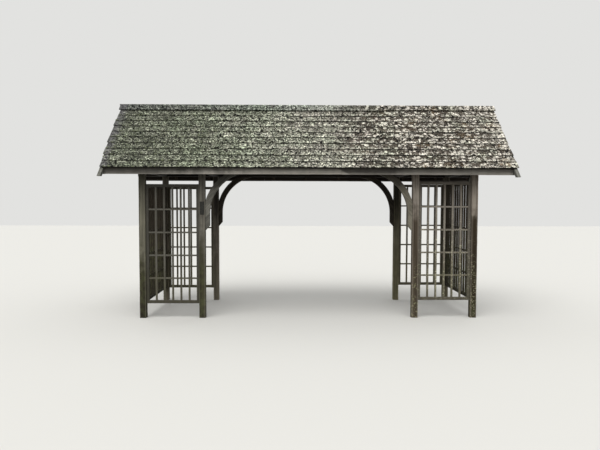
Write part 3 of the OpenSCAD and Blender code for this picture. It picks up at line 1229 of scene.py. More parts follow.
@dataclass
class LatticePanels:
    """The six lattice panels, built bar by bar. A bar's two sizes are its width and its thickness."""

    stile: float = 0.043
    rail: float = 0.047
    frame_thickness: float = 0.040
    upright: tuple[float, float] = (0.028, 0.030)
    cross: tuple[float, float] = (0.025, 0.024)
    bay_uprights: int = 5
    end_uprights: int = 10
    cross_bars: int = 4
    seed: int = 301
    frame_sawing: Sawing = Sawing(arris=0.003, step=0.08, spacing=0.06)
    frame_tone: tuple[float, float] = (0.0, 0.3)
    bar_sawing: Sawing = Sawing(arris=0.002, ragged=0.6, hollow=0.0005, step=0.09, spacing=0.06)
    bar_tone: tuple[float, float] = (1.2, 1.6)
    left: WeatheredTimber = WeatheredTimber(
        "left_lattice_timber", dry=tint(102, 99, 90), dark=tint(67, 64, 57), damp=tint(80, 76, 62),
        damp_line=0.7, green_amount=0.15, green_top=1.0, grain_length=0.6)
    right: WeatheredTimber = WeatheredTimber(
        "right_lattice_timber", dry=tint(138, 131, 120), dark=tint(88, 82, 72), damp=tint(92, 87, 70),
        damp_line=1.0, green_amount=0.3, green_top=0.9, lichen=tint(196, 193, 164), lichen_amount=0.9,
        lichen_top=1.6, lichen_size=0.018, lower_band_factor=(0.33, 0.42, 0.7), grain_length=0.6)
    rear: WeatheredTimber = WeatheredTimber(
        "rear_lattice_timber", dry=tint(134, 128, 112), dark=tint(78, 73, 61), damp=tint(102, 97, 76),
        damp_line=0.9, green_amount=0.35, green_top=1.3, grain_length=0.6)
    # The end panels' wood is a darker copy, painted shade for panels that stand in the shade.
    end: WeatheredTimber = WeatheredTimber(
        "end_lattice_timber", dry=tint(74, 67, 56), dark=tint(41, 37, 30), damp=tint(46, 42, 32),
        damp_line=0.9, green_amount=0.35, green_top=1.3, grain_length=0.6)

    def build(self) -> None:
        """Builds the four bay panels and the two end panels."""
        left, right, rear, end = (look.material() for look in (self.left, self.right, self.rear, self.end))
        panels = (("front_left", left), ("front_right", right), ("rear_left", rear), ("rear_right", rear),
                  ("left_end", end), ("right_end", end))
        for seed, (label, material) in enumerate(panels, self.seed):
            self.panel(f"{label}_lattice", Grain.Y if "end" in label else Grain.X, material, seed)

    def panel(self, node: str, run: Grain, material: bpy.types.Material, seed: int) -> None:
        """Builds one panel.

        Args:
            node: The CAD node that it stands for.
            run: The axis that its rails run along.
            material: Its finish.
            seed: Seed of its random numbers.
        """
        low, high = corners_of(node)
        middle = (low + high) / 2
        wide = run.value
        deep = 1 - wide
        uprights = self.end_uprights if run is Grain.Y else self.bay_uprights
        piece = Piece(node.replace("_lattice", "_lattice_panel"), seed)
        for left, foot, width, height, thick, standing in self.bars(high[wide] - low[wide], high[2] - low[2],
                                                                    uprights):
            start, end = np.zeros(3), np.zeros(3)
            start[wide], end[wide] = middle[wide] + left, middle[wide] + left + width
            start[deep], end[deep] = middle[deep] - thick / 2, middle[deep] + thick / 2
            start[2], end[2] = low[2] + foot, low[2] + foot + height
            outer = thick == self.frame_thickness
            tone = piece.rng.uniform(*(self.frame_tone if outer else self.bar_tone))
            box_timber(piece, start, end, Grain.Z if standing else run,
                       self.frame_sawing if outer else self.bar_sawing, tone)
        piece.build(material, "lattice_timber", (node,))

    def bars(self, width: float, height: float, uprights: int) -> list[tuple]:
        """Lays out a panel's bars.

        Args:
            width: Width of the panel.
            height: Height of the panel.
            uprights: Number of upright bars.

        Returns:
            For each bar: its left and lower edge in the panel's plane, its size there, its thickness, and
            whether it stands upright.
        """
        stile, rail, frame_thickness = self.stile, self.rail, self.frame_thickness
        open_width, open_height = width - 2 * stile, height - 2 * rail
        made = [(side * (width - stile) / 2 - stile / 2, 0.0, stile, height, frame_thickness, True)
                for side in (-1, 1)]
        made += [(-open_width / 2, foot, open_width, rail, frame_thickness, False)
                 for foot in (0.0, height - rail)]
        bar, thick = self.upright
        step = (open_width + bar) / (uprights + 1)
        for i in range(1, uprights + 1):
            middle = i * step - (open_width + bar) / 2
            made.append((middle - bar / 2, rail, bar, open_height, thick, True))
        bar, thick = self.cross
        rise = (open_height + bar) / (self.cross_bars + 1)
        made += [(-open_width / 2, rail + j * rise - bar, open_width, bar, thick, False)
                 for j in range(1, self.cross_bars + 1)]
        return made


@dataclass
class RoofFrame:
    """Wall plates, ties and ridge board, with the rafters that keep their CAD shape."""

    heavy: Sawing = Sawing(arris=0.005, step=0.07, spacing=0.05, checks=2, check_depth=0.014)
    light: Sawing = Sawing(arris=0.003, step=0.09, spacing=0.06)
    seed: int = 400
    ridge_seed: int = 410
    # Nearly black brown: partly wood kept from the weather, partly painted shade under the roof.
    timber: WeatheredTimber = WeatheredTimber(
        "roof_frame_timber", dry=tint(43, 37, 31), dark=tint(22, 19, 16), grain_length=0.9)
    # The rafters' dark brown is partly painted shade under the roof.
    rafter_timber: tuple[ShelteredShadedTimber, ShelteredShadedTimber] = (
        ShelteredShadedTimber("front_rafter_timber", stretch=(60.0, 60.0, 2.0), tilt=PITCH),
        ShelteredShadedTimber("rear_rafter_timber", stretch=(60.0, 60.0, 2.0), tilt=-PITCH))

    def build(self) -> None:
        """Builds the straight timbers and dresses the rafters."""
        timber = self.timber.material()
        plates = [(f"{row.label}_wall_plate", Grain.X) for row in Row]
        ties = [(f"{place}_tie", Grain.Y) for place in ("left_end", "left_inner", "right_inner", "right_end")]
        beams = [(node, f"{node}_beam", run, self.heavy, self.seed + index)
                 for index, (node, run) in enumerate(plates + ties)]
        beams.append(("ridge_board", "ridge_board_timber", Grain.X, self.light, self.ridge_seed))
        for node, name, run, sawing, seed in beams:
            piece = Piece(name, seed)
            box_timber(piece, *corners_of(node), run, sawing)
            piece.build(timber, "roof_timber", (node,))
        for node, finish in zip(("front_rafters", "rear_rafters"), self.rafter_timber):
            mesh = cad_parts[node].data
            mesh.materials.clear()
            mesh.materials.append(finish.material())


@dataclass
class RoofLines:
    """The roof's planes, read from the frame."""

    pitch: float = PITCH
    bed: float = 0.030
    cap_thickness: float = 0.022
    cap_width: float = 0.145
    butt: float = 0.036
    thin: float = 0.022
    exposure: float = 0.143
    cap_joints: tuple[float, float] = (-0.95, 1.24)
    cap_narrowing: float = 0.024

    def __post_init__(self) -> None:
        """Reads the apex, the ends and the eave from the nodes."""
        low, high = corners_of("front_shingles")
        self.half = float(high[0])
        self.apex = float(corners_of("front_roof_boards")[1][2])
        self.length = (self.apex - float(low[2])) / math.sin(self.pitch)
        self.boards_half = float(corners_of("front_roof_boards")[1][0])
        self.boards_length = -float(corners_of("front_roof_boards")[0][1]) / math.cos(self.pitch)
        self.cap_edge = self.cap_width - (self.bed + self.cap_thickness) * math.tan(self.pitch)
        self.courses = math.ceil((self.length - self.cap_edge) / self.exposure)

    def cap_line(self, row: Row, along: float) -> float:
        """Distance down the slope of the ridge cap's lower edge.

        Args:
            row: The slope.
            along: Place along the ridge.

        Returns:
            The distance, which is less under the narrow board at the front right.
        """
        narrow = row is Row.FRONT and along > self.cap_joints[1]
        return self.cap_edge - (self.cap_narrowing if narrow else 0.0)

    def down(self, row: Row) -> np.ndarray:
        """Direction down the slope."""
        return np.array([0.0, row.value * math.cos(self.pitch), -math.sin(self.pitch)])

    def out(self, row: Row) -> np.ndarray:
        """Direction square to the slope, outwards."""
        return np.array([0.0, row.value * math.sin(self.pitch), math.cos(self.pitch)])

    def point(self, row: Row, along: np.ndarray, down: np.ndarray, rise: np.ndarray) -> np.ndarray:
        """Points on a slope.

        Args:
            row: The slope.
            along: Their X.
            down: Their distances down the slope.
            rise: Their heights over the boards.

        Returns:
            The points.
        """
        apex = np.array([0.0, 0.0, self.apex])
        return (apex + np.asarray(along)[..., None] * X_AXIS + np.asarray(down)[..., None] * self.down(row)
                + np.asarray(rise)[..., None] * self.out(row))

    def lay(self, piece: Piece, row: Row, ends: tuple[float, float], outline: Section,
            sawing: Sawing) -> None:
        """Adds a board that runs along X to a piece.

        Args:
            piece: The piece that it belongs to.
            row: The slope.
            ends: Lower and upper end of the board.
            outline: Its section, drawn as distance down the slope and height over the boards.
            sawing: How it is worked.
        """
        start = np.array([ends[0] if row is Row.REAR else ends[1], 0.0, self.apex])
        track = Track(start, self.down(row), self.out(row))
        saw_timber(piece, track, outline, ends[1] - ends[0], sawing)


def joints(rng: np.random.Generator, low: float, high: float, pieces: int, uneven: float) -> list[float]:
    """Where boards in a line meet.

    Args:
        rng: Source of random numbers.
        low: Start of the line.
        high: End of the line.
        pieces: Number of boards.
        uneven: How far a joint may be from its even place, as a share of a board.

    Returns:
        The ends of the boards, from low to high.
    """
    step = (high - low) / pieces
    middle = [low + step * (k + rng.uniform(-uneven, uneven)) for k in range(1, pieces)]
    return [low, *middle, high]


@dataclass
class RoofBoards:
    """The boards under the shingles, which show from inside and below."""

    lines: RoofLines
    rows: int = 10
    thickness: float = 0.019
    gap: float = 0.003
    end_gap: float = 0.001
    boards_to_row: int = 3
    uneven: float = 0.25
    seed: int = 500
    sawing: Sawing = Sawing(arris=0.0015, ragged=0.7, hollow=0.0006, step=0.25, spacing=0.2)
    # Dark brown: partly wood kept from the weather, partly painted shade under the roof.
    timber: WeatheredTimber = WeatheredTimber(
        "roof_board_timber", dry=tint(80, 70, 58), dark=tint(44, 37, 30), grain_length=1.2)

    def build(self) -> None:
        """Lays the boards of both slopes."""
        timber = self.timber.material()
        width = self.lines.boards_length / self.rows
        half = self.lines.boards_half
        for row in Row:
            piece = Piece(f"{row.label}_sheathing", self.seed + row.value)
            for k in range(self.rows):
                edge = k * width
                outline = [(edge + self.gap, -self.thickness), (edge + width, -self.thickness),
                           (edge + width, 0.0), (edge + self.gap, 0.0)]
                ends = joints(piece.rng, -half, half, self.boards_to_row, self.uneven)
                for start, end in zip(ends, ends[1:]):
                    board = start + self.end_gap, end - self.end_gap
                    self.lines.lay(piece, row, board, outline, self.sawing)
            piece.build(timber, "roof_boarding", (f"{row.label}_roof_boards",))


@dataclass
class EdgeBoards:
    """Fascia boards along the eaves and bargeboards at the rakes."""

    lines: RoofLines
    front_joints: tuple[float, float] = (-1.02, 0.48)
    rear_boards: int = 3
    uneven: float = 0.2
    joint_gap: float = 0.0008
    foot_swing: float = 0.002
    barge_ease: float = 0.004
    smooth_angle: float = 30.0
    fascia_seed: int = 520
    barge_seed: int = 530
    sawing: Sawing = Sawing(arris=0.004, ragged=0.9, hollow=0.001, step=0.04, spacing=0.03, checks=1,
                            check_half_width=0.001, check_depth=0.006)
    # The fascia's lower edge is painted lighter, partly a worn lip and partly painted highlight; its inner
    # face is dark brown as painted shade.
    fascia_timber: WeatheredTimber = WeatheredTimber(
        "fascia_timber", dry=tint(194, 188, 177), dark=tint(142, 136, 126), lichen_amount=0.25,
        grain_length=1.4,
        stains=(Stain(-4.0, -1.5, 0.36, blur=(0.2, 1.3)),
                Stain(0.53, 1.31, 0.38, blur=(0.035, 0.1), lean=(-2.0, 1.6), level=2.283),
                Stain(1.2, 4.0, 0.72, blur=(0.15, 0.2))),
        lower_band_factor=(2.252, 2.272, 1.3), painted_inner_shade=1.012)
    barge_timber: WeatheredTimber = WeatheredTimber(
        "bargeboard_timber", dry=tint(126, 125, 116), dark=tint(80, 79, 72), lichen=tint(186, 184, 172),
        lichen_amount=0.35, grain_length=0.9)

    def build(self) -> None:
        """Builds both fascias and the four bargeboards."""
        fascia, barge = self.fascia_timber.material(), self.barge_timber.material()
        for row in Row:
            self.fascia(row, fascia)
            for side in Side:
                self.bargeboard(row, side, barge)

    def fascia(self, row: Row, material: bpy.types.Material) -> None:
        """Builds a fascia from boards that meet end to end.

        Args:
            row: The eave that it runs along.
            material: Its finish.
        """
        node = f"{row.label}_fascia"
        low, high = corners_of(node)
        piece = Piece(f"{row.label}_fascia_boards", self.fascia_seed + row.value)
        ends = [float(low[0]), *self.front_joints, float(high[0])]
        if row is Row.REAR:
            ends = joints(piece.rng, float(low[0]), float(high[0]), self.rear_boards, self.uneven)
        for start, end in zip(ends, ends[1:]):
            first, last = low.copy(), high.copy()
            first[0], last[0] = start + self.joint_gap, end - self.joint_gap
            first[2] += piece.rng.uniform(0.0, self.foot_swing)
            box_timber(piece, first, last, Grain.X, self.sawing)
        piece.build(material, "fascia_board", (node,))

    def bargeboard(self, row: Row, side: Side, material: bpy.types.Material) -> None:
        """Works a bargeboard from its node, with its grain down the slope.

        Args:
            row: The slope that it follows.
            side: The end of the roof.
            material: Its finish.
        """
        label = f"{side.label}_{row.label}"
        piece = worked_piece(f"{label}_barge_timber", f"{label}_bargeboard", self.barge_ease,
                             (X_AXIS, self.lines.out(row), self.lines.down(row)),
                             self.barge_seed + 3 * row.value + side.value)
        piece.build(material, "bargeboard", (f"{label}_bargeboard",), self.smooth_angle)


@dataclass
class ShingleCoat:
    """The shingles of both slopes, laid one by one in courses over a dark stepped bed.

    Each course stops short of the roof's ends by a length of its own. A shingle's levels are lines across
    it, counted from its butt; the last of them are counted from where the next course covers it.
    """

    lines: RoofLines
    narrow: float = 0.065
    wide: float = 0.185
    least_width: float = 0.01
    width_swing: tuple[float, float] = (0.75, 1.0)
    column: float = 0.02
    gap: float = 0.006
    gap_swing: tuple[float, float] = (0.25, 1.0)
    overlap: float = 0.030
    top_overlap: float = 0.01
    wander: float = 0.004
    wander_marks: int = 200
    wander_waves: int = 14
    short_left: tuple[float, ...] = (0.026, 0.022, 0.006, 0.018, 0.0, 0.004, 0.010, 0.001, 0.012, 0.020)
    short_right: tuple[float, ...] = (0.0, 0.012, 0.002, 0.014, 0.004, 0.0, 0.009, 0.001, 0.007, 0.003)
    end_swing: float = 0.004
    ragged: float = 0.012
    broken: float = 0.06
    hole_depth: tuple[float, float] = (0.015, 0.05)
    hole_share: float = 0.22
    near_levels: tuple[float, ...] = (0.0, 0.010, 0.035, 0.08)
    far_levels: tuple[float, ...] = (-0.024, -0.007)
    # Per level, side, eave and butt face: positive values darken towards near-black as painted shade under
    # butts, in gaps and on faces that look down, partly grime; negative ones draw lichen to the butt's rim.
    level_wear_and_shade: tuple[float, ...] = (-0.6, -0.9, -0.3, 0.0, 0.0, 0.95, 1.0)
    side_wear_and_shade: float = 0.3
    eave_dirt_and_shade: float = 0.25
    brow_dirt_and_shade: float = 0.35
    loose_length: float = 0.12
    cup: tuple[float, float] = (-0.0025, 0.002)
    twist: float = 0.0015
    droop: float = 0.004
    bump: float = 0.0012
    clearance: float = 0.0005
    under_slope: float = 0.75
    edge_share: float = 0.22
    edge_drop: float = 0.003
    butt_drop: tuple[float, float] = (0.002, 0.005)
    bed_back: float = 0.007
    bed_sunk: float = 0.002
    bed_lap: float = 0.05
    bed_past_end: float = 0.012
    cap_lap: float = 0.02
    under_cap: float = 0.009
    seed: int = 1000
    finish: LichenShingle = LichenShingle("lichen_shingle")
    bed_finish: WeatheredTimber = WeatheredTimber(
        "shingle_bed", dry=tint(44, 40, 34), dark=tint(24, 22, 18), grain_length=0.4)

    def build(self) -> None:
        """Lays both slopes."""
        material = self.finish.material()
        bed = self.bed_finish.material()
        for row in Row:
            self.bed(row, bed)
            for course in range(self.lines.courses):
                piece = Piece(f"{row.label}_shingle_course_{course + 1:02d}",
                              self.seed + 100 * row.value + course)
                self.course(piece, row, course)
                piece.build(material, "shingle", smooth_angle=50.0)

    def bed(self, row: Row, material: bpy.types.Material) -> None:
        """Builds what lies under the visible shingles, as one stepped sheet.

        Args:
            row: The slope.
            material: Its finish.
        """
        lines = self.lines
        profile = [(0.0, 0.0), (lines.length - self.bed_back, 0.0)]
        for course in range(lines.courses):
            edge = lines.length - course * lines.exposure - self.bed_back
            profile.append((edge - (self.bed_lap if course else 0.0), lines.thin - self.bed_sunk))
            if course < lines.courses - 1:
                foot = lines.thin - 0.5 * (lines.butt - lines.thin)
                profile.append((edge - lines.exposure - self.bed_lap, foot - self.bed_sunk))
        covered = lines.cap_edge - lines.cap_narrowing - self.cap_lap
        profile += [(lines.cap_edge, self.bed_past_end), (covered, self.bed_past_end),
                    (covered, lines.bed - self.under_cap), (-self.bed_past_end, lines.bed - self.under_cap)]
        down, rise = np.array(profile).T
        half = lines.boards_half + self.bed_past_end
        count = len(down)
        points = np.vstack([lines.point(row, np.full(count, x), down, rise) for x in (-half, half)])
        turn = -row.value
        faces = ring_quads(count, 0, turn)
        faces += [list(range(count))[::-turn], list(range(count, 2 * count))[::turn]]
        piece = Piece(f"{row.label}_shingle_bed")
        piece.add(points, faces, points[:, [1, 2, 0]], 0.5)
        piece.build(material, "shingle", (f"{row.label}_shingles",), 20.0)

    def course(self, piece: Piece, row: Row, course: int) -> None:
        """Lays one course from end to end.

        Args:
            piece: The piece that holds the course.
            row: The slope.
            course: Its number, from the eave.
        """
        rng, half = piece.rng, self.lines.half
        at = -half + self.short_left[course % len(self.short_left)] + rng.uniform(0.0, self.end_swing)
        end = half - self.short_right[course % len(self.short_right)] - rng.uniform(0.0, self.end_swing)
        drift = self.wander * (1.0 + smooth_line(rng, self.wander_marks, self.wander_waves))
        while at < end - self.least_width:
            width = rng.uniform(self.narrow, self.wide) * rng.uniform(*self.width_swing)
            if end - at - width < self.narrow:
                width = end - at
            back = float(np.interp(at, np.linspace(-half, half, self.wander_marks), drift))
            self.shingle(piece, row, course, at, width - rng.uniform(*self.gap_swing) * self.gap, back)
            at += width

    def shingle(self, piece: Piece, row: Row, course: int, left: float, width: float, back: float) -> None:
        """Adds one shingle: a cupped wedge with a ragged butt.

        Args:
            piece: The piece that it belongs to.
            row: The slope.
            course: Its course, from the eave.
            left: Its lower X.
            width: Its width.
            back: How far its butt lies back from the course's line.
        """
        rng, lines = piece.rng, self.lines
        columns = max(4, round(width / self.column))
        reach = lines.exposure
        if course == lines.courses - 1:
            cap_line = lines.cap_line(row, left + width / 2)
            reach = lines.length - course * lines.exposure - cap_line + self.top_overlap
        levels = np.array([*self.near_levels, *(reach + step for step in (*self.far_levels, self.overlap))])
        share = np.linspace(0.0, 1.0, columns + 1)
        middle = 2.0 * share - 1.0
        across = left + share * width
        ragged = self.ragged * (0.3 + 0.7 * rng.uniform(0.0, 1.0, columns + 1)) * rng.uniform(0.15, 1.0)
        if rng.uniform() < self.broken:
            hole = rng.uniform(0.0, 1.0)
            depth = rng.uniform(*self.hole_depth)
            ragged += depth * np.clip(1.5 - np.abs(share - hole) / self.hole_share, 0.0, 1.0)
        butt_down = lines.length - course * lines.exposure - back - ragged
        slope = (lines.butt - lines.thin) / lines.exposure
        slack = np.clip(1.0 - levels / self.loose_length, 0.0, 1.0)
        cup = rng.uniform(*self.cup) * (middle ** 2)
        twist = rng.uniform(-self.twist, self.twist) * middle
        edge = np.clip(np.abs(middle) - (1.0 - self.edge_share), 0.0, 1.0)
        round_edge = self.edge_drop * edge / self.edge_share
        drop = rng.uniform(0.0, self.droop)
        bumps = rng.uniform(-self.bump, self.bump, (len(levels), columns + 1)) * slack[:, None]
        plane = lines.butt - slope * levels[:, None]
        top = plane - slack[:, None] * (drop + round_edge - cup - twist) + bumps
        top[0] -= rng.uniform(*self.butt_drop, columns + 1)
        top = np.minimum(top, plane)
        under = lines.thin - self.clearance - self.under_slope * slope * levels[:, None]
        under = np.broadcast_to(under, top.shape)
        down = butt_down[None, :] - levels[:, None]
        wide = np.broadcast_to(across, top.shape)
        grain = np.stack([wide - left, top, np.broadcast_to(levels[:, None], top.shape)], 2)
        self.wedge(piece, row, lines.point(row, wide, down, top), lines.point(row, wide, down, under), grain,
                   self.eave_dirt_and_shade if course == 0 else 1.0)

    def wedge(self, piece: Piece, row: Row, upper: np.ndarray, lower: np.ndarray, grain: np.ndarray,
              dirt_and_shade: float) -> None:
        """Closes a shingle between its upper and its lower face.

        Args:
            piece: The piece that it belongs to.
            row: The slope.
            upper: Points of the upper face, by level and column.
            lower: Points of the lower face.
            grain: Each upper point's place in the wood.
            dirt_and_shade: Darkening at the foot of its sides, partly grime and partly painted shade.
        """
        rows, columns = upper.shape[:2]
        seed = piece.rng.uniform(0.0, 60.0, 3)
        turn = -row.value
        below = rows * columns
        faces = []
        for i in range(rows - 1):
            for k in range(i * columns, (i + 1) * columns - 1):
                faces.append([k, k + columns, k + columns + 1, k + 1][::turn])
                faces.append([below + k, below + k + 1, below + k + columns + 1, below + k + columns][::turn])
        wear_and_shade = np.repeat(self.level_wear_and_shade, columns).reshape(rows, columns)
        wear_and_shade[:, [0, -1]] += self.side_wear_and_shade
        last = columns - 1
        rim = [(0, j) for j in range(columns)] + [(i, last) for i in range(1, rows)]
        rim += [(rows - 1, j) for j in range(last)[::-1]] + [(i, 0) for i in range(1, rows - 1)[::-1]]
        count = len(rim)
        faces += ring_quads(count, 2 * below, turn)
        at = tuple(np.transpose(rim))
        corners = np.vstack([upper.reshape(-1, 3), lower.reshape(-1, 3), upper[at], lower[at]])
        places = np.vstack([grain.reshape(-1, 3), grain.reshape(-1, 3), grain[at], grain[at]]) + seed
        # Undersides get the full near-black and the butt faces darken towards their foot: painted shade,
        # partly grime.
        worn = np.concatenate([wear_and_shade.ravel(), np.ones(below), np.full(count, self.brow_dirt_and_shade * dirt_and_shade),
                               np.full(count, dirt_and_shade)])
        piece.add(corners, faces, places, piece.rng.uniform(0.0, 1.0), worn)


@dataclass
class RidgeCap:
    """The boards that cover the ridge. Those at the front meet at the joints of the roof's lines."""

    lines: RoofLines
    front_start: float = 0.014
    joint_gap: float = 0.0012
    rear_boards: int = 3
    uneven: float = 0.2
    seed: int = 700
    sawing: Sawing = Sawing(arris=0.004, ragged=1.0, hollow=0.0015, step=0.035, spacing=0.03, checks=1,
                            check_half_width=0.0012, check_depth=0.006)
    finish: LichenShingle = LichenShingle(
        "lichen_cap", wood_left=tint(64, 65, 60), wood_right=tint(78, 74, 66), film_left=tint(108, 112, 104),
        film_right=tint(124, 123, 111), pale_left=tint(160, 165, 152), pale_middle=tint(200, 207, 192),
        pale_right=tint(212, 208, 194), whitening=0.02, wood_zone=(-3.1, -0.7))

    def build(self) -> None:
        """Lays the boards of both slopes, mitred over the ridge."""
        material = self.finish.material()
        lines = self.lines
        top = lines.bed + lines.cap_thickness
        slope = math.tan(lines.pitch)
        half = float(corners_of("front_ridge_cap")[1][0])
        for row in Row:
            piece = Piece(f"{row.label}_ridge_boards", self.seed + row.value)
            ends = [-half + self.front_start, *lines.cap_joints, half]
            if row is Row.REAR:
                ends = joints(piece.rng, -half, half, self.rear_boards, self.uneven)
            for start, end in zip(ends, ends[1:]):
                edge = lines.cap_line(row, (start + end) / 2)
                outline = [(-lines.bed * slope, lines.bed), (edge, lines.bed), (edge, top),
                           (-top * slope, top)]
                board = start + self.joint_gap, end - self.joint_gap
                lines.lay(piece, row, board, outline, self.sawing)
            piece.build(material, "ridge_cap", (f"{row.label}_ridge_cap",))


@dataclass
class RoofGrowth:
    """Tufts of lichen and moss that stand up from the shingles.

    A tuft is a low dome with a foot, a brow and a crown. It stands back from its course's butt, sunk a
    little into the shingle.
    """

    lines: RoofLines
    tufts: int = 2600
    sides: int = 7
    end_gap: float = 0.02
    back: tuple[float, float] = (0.008, 0.12)
    crowding: float = 1.7
    radius: tuple[float, float] = (0.006, 0.02)
    height: tuple[float, float] = (0.0035, 0.0035)
    sunk: tuple[float, float] = (0.004, 0.002)
    flat: float = 0.75
    brow: tuple[float, float] = (0.8, 0.75)
    uneven: float = 0.3
    seed: int = 900
    finish: Growth = Growth("roof_growth")

    def build(self) -> None:
        """Scatters the tufts over both slopes, thickest just above the butts."""
        material = self.finish.material()
        for row in Row:
            piece = Piece(f"{row.label}_roof_growth", self.seed + row.value)
            for _ in range(self.tufts):
                self.tuft(piece, row)
            piece.build(material, "shingle", smooth_angle=60.0)

    def tuft(self, piece: Piece, row: Row) -> None:
        """Adds one tuft, unless the ridge cap covers its place.

        Args:
            piece: The piece that holds it.
            row: The slope.
        """
        rng, lines, sides = piece.rng, self.lines, self.sides
        along = rng.uniform(-lines.half + self.end_gap, lines.half - self.end_gap)
        course = int(rng.integers(0, lines.courses))
        back = self.back[0] + self.back[1] * rng.uniform(0.0, 1.0) ** self.crowding
        radius = rng.uniform(*self.radius) * rng.uniform(0.6, 1.0)
        down = lines.length - course * lines.exposure - back
        if down - radius < lines.cap_edge:
            return
        rise = lines.butt - (lines.butt - lines.thin) / lines.exposure * back - self.sunk[0]
        high = self.height[0] + rng.uniform(0.0, self.height[1])
        turns = np.linspace(0.0, 2.0 * math.pi, sides, endpoint=False)
        reach = radius * (1.0 + self.uneven * rng.uniform(-1.0, 1.0, sides))
        ring_x = along + reach * np.cos(turns)
        ring_down = down + self.flat * reach * np.sin(turns)
        drawn_in, brow_height = self.brow
        base = lines.point(row, ring_x, ring_down, np.full(sides, rise - self.sunk[1]))
        brow = lines.point(row, along + drawn_in * (ring_x - along), down + drawn_in * (ring_down - down),
                           rise + brow_height * high * (1.0 + self.uneven * rng.uniform(-1.0, 1.0, sides)))
        crown = lines.point(row, np.array([along]), np.array([down]), np.array([rise + high]))
        turn = -row.value
        faces = ring_quads(sides, 0, turn)
        faces += [[sides + i, sides + (i + 1) % sides, 2 * sides][::turn] for i in range(sides)]
        faces.append(list(range(sides))[::-turn])
        corners = np.vstack([base, brow, crown])
        piece.add(corners, faces, corners, rng.uniform(0.0, 1.0))


@dataclass
class Fittings:
    """The small dark plate on a post with its two screws, and the nails that hold the fascias."""

    lines: RoofLines
    plate_size: tuple[float, float] = (0.068, 0.205)
    plate_corner: float = 0.008
    plate_middle: float = 1.726
    plate_offset: float = 0.004
    plate_proud: float = 0.004
    plate_sunk: float = 0.001
    plate_bevel: float = 0.97
    screw_inset: float = 0.014
    screw_proud: float = 0.0018
    nail_radius: float = 0.0045
    nail_proud: float = 0.0012
    nail_sunk: float = 0.0006
    nail_columns: int = 11
    nail_inset: float = 0.0225
    nail_heights: tuple[float, float] = (0.28, 0.74)
    nail_swing: tuple[float, float] = (0.008, 0.006)
    seed: int = 950
    plate_paint: Ironwork = Ironwork("dark_plate_paint", colour=tint(38, 38, 35), worn=tint(74, 72, 64),
                                     roughness=0.5, metallic=0.0)
    iron: Ironwork = Ironwork("rusted_iron")

    def build(self) -> None:
        """Fixes the plate, its screws and the nails."""
        low, high = corners_of("front_left_inner_post")
        middle = np.array([(low[0] + high[0]) / 2 + self.plate_offset, low[1], self.plate_middle])
        self.plate(middle)
        iron = self.iron.material()
        screws = Piece("plate_screws")
        for end in (-1, 1):
            rise = end * (self.plate_size[1] / 2 - self.screw_inset)
            nail_head(screws, middle + np.array([0.0, -self.plate_proud, rise]), -Y_AXIS, self.nail_radius,
                      self.screw_proud)
        screws.build(iron, "iron_fixing")
        self.fascia_nails(iron)

    def plate(self, middle: np.ndarray) -> None:
        """Builds the bare plate with its rounded corners.

        Args:
            middle: The plate's middle, on the face of the post.
        """
        width, height = self.plate_size
        radius = self.plate_corner
        outline = []
        for sx, sz, start in ((1, 1, 0.0), (-1, 1, 0.5), (-1, -1, 1.0), (1, -1, 1.5)):
            for turn in np.linspace(start, start + 0.5, 5) * math.pi:
                outline.append((sx * (width / 2 - radius) + radius * math.cos(turn),
                                sz * (height / 2 - radius) + radius * math.sin(turn)))
        rim = np.array(outline)
        count = len(rim)
        proud = self.plate_proud
        layers = ((self.plate_sunk, 1.0), (-0.7 * proud, 1.0), (-proud, self.plate_bevel))
        points = np.vstack([
            np.stack([middle[0] + share * rim[:, 0], np.full(count, middle[1] + depth),
                      middle[2] + rim[:, 1] * (1 - (1 - share) * width / height)], 1)
            for depth, share in layers])
        faces = [*ring_quads(count, 0, -1), *ring_quads(count, count, -1), list(range(count)),
                 list(range(2 * count, 3 * count))[::-1]]
        piece = Piece("blank_post_plate")
        piece.add(points, faces, points, 0.5)
        piece.build(self.plate_paint.material(), "dark_plate")

    def fascia_nails(self, iron: bpy.types.Material) -> None:
        """Drives two nails through each fascia into every rafter tail.

        Args:
            iron: Their finish.
        """
        piece = Piece("fascia_nails", self.seed)
        rng = piece.rng
        half = self.lines.boards_half - self.nail_inset
        swing_along, swing_up = self.nail_swing
        for row in Row:
            low, high = corners_of(f"{row.label}_fascia")
            face = low[1] if row is Row.FRONT else high[1]
            for along in np.linspace(-half, half, self.nail_columns):
                for share in self.nail_heights:
                    spot = np.array([along + rng.uniform(-swing_along, swing_along),
                                     face - row.value * self.nail_sunk,
                                     low[2] + share * (high[2] - low[2]) + rng.uniform(-swing_up, swing_up)])
                    nail_head(piece, spot, row.value * Y_AXIS, self.nail_radius, self.nail_proud)
        piece.build(iron, "iron_fixing")


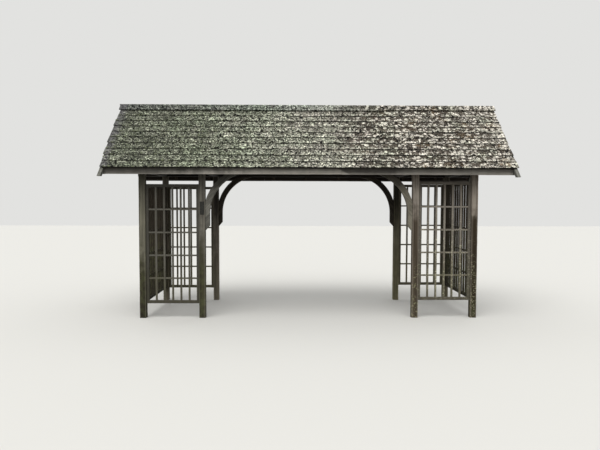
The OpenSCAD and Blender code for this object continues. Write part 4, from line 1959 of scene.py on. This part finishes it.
@dataclass
class Studio:
    """Camera, floor, lamps and background."""

    camera_place: tuple[float, float, float] = (-0.2668, -8.924, 1.8347)
    yaw: float = 0.0153
    pitch: float = 0.0454
    roll: float = 0.0024
    lens: float = 31.2
    sensor_width: float = 36.0
    floor_size: float = 60.0
    floor_seen: Colour = tint(214, 212, 206)
    floor_lit: Colour = tint(96, 94, 90)
    sky_low: float = 0.42
    sky_high: float = 1.1
    daylight: Colour = (0.97, 0.985, 1.0)
    background: Colour = tint(226, 226, 224)
    lamp_energy: float = 1.6
    lamp_angle: float = 50.0
    lamp_turn: tuple[float, float] = (32.0, -18.0)

    def build(self) -> None:
        """Sets the whole stage."""
        self.camera()
        self.floor()
        self.sky()
        self.lamp()
        bpy.context.scene.view_settings.view_transform = "Standard"

    def camera(self) -> None:
        """Places the camera where the photograph was taken from."""
        data = bpy.data.cameras.new("camera")
        data.lens = self.lens
        data.sensor_width = self.sensor_width
        camera = bpy.data.objects.new("camera", data)
        turn = (Matrix.Rotation(-self.yaw, 4, "Z") @ Matrix.Rotation(math.pi / 2 - self.pitch, 4, "X")
                @ Matrix.Rotation(self.roll, 4, "Z"))
        camera.matrix_world = Matrix.Translation(Vector(self.camera_place)) @ turn
        bpy.context.scene.collection.objects.link(camera)
        bpy.context.scene.camera = camera

    def floor(self) -> None:
        """Lays a plain pale floor, which throws back less light than the camera sees."""
        mesh = bpy.data.meshes.new("floor")
        corners = [(x, y, 0.0) for x, y in rectangle(self.floor_size, self.floor_size)]
        mesh.from_pydata(corners, [], [(0, 1, 2, 3)])
        floor = bpy.data.objects.new("floor", mesh)
        bpy.context.scene.collection.objects.link(floor)
        recipe = Recipe("plain_floor")
        colour = recipe.mix(recipe.seen_directly(), self.floor_lit, self.floor_seen)
        mesh.materials.append(recipe.finish(colour, 0.9))

    def sky(self) -> None:
        """Lights the gate from all round, more from above, with a pale background for the camera."""
        world = bpy.data.worlds.new("sky")
        bpy.context.scene.world = world
        book = NodeBook(world)
        rise = book.split(book.add("TexCoord").outputs["Generated"])[2]
        strength = book.add("MapRange", {"Value": rise, "To Min": self.sky_low, "To Max": self.sky_high})
        light = book.add("Background", {"Color": self.daylight, "Strength": strength.outputs["Result"]})
        seen = book.add("Background", {"Color": self.background})
        shaders = {0: book.seen_directly(), 1: light.outputs[0], 2: seen.outputs[0]}
        book.add("OutputWorld", {"Surface": book.add("MixShader", shaders).outputs[0]})

    def lamp(self) -> None:
        """Hangs one broad lamp high in front, a little to the left."""
        data = bpy.data.lights.new("broad_lamp", "SUN")
        data.energy = self.lamp_energy
        data.angle = math.radians(self.lamp_angle)
        lamp = bpy.data.objects.new("broad_lamp", data)
        lean, turn = (math.radians(angle) for angle in self.lamp_turn)
        lamp.rotation_euler = (lean, 0.0, turn)
        bpy.context.scene.collection.objects.link(lamp)


def main() -> None:
    """Builds the gate's looks in order."""
    logging.basicConfig(level=logging.INFO, format="%(message)s")
    Studio().build()
    lines = RoofLines()
    Posts().build()
    Braces().build()
    LatticePanels().build()
    RoofFrame().build()
    RoofBoards(lines).build()
    EdgeBoards(lines).build()
    ShingleCoat(lines).build()
    RidgeCap(lines).build()
    RoofGrowth(lines).build()
    Fittings(lines).build()
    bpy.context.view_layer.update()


if __name__ == "__main__":
    main()
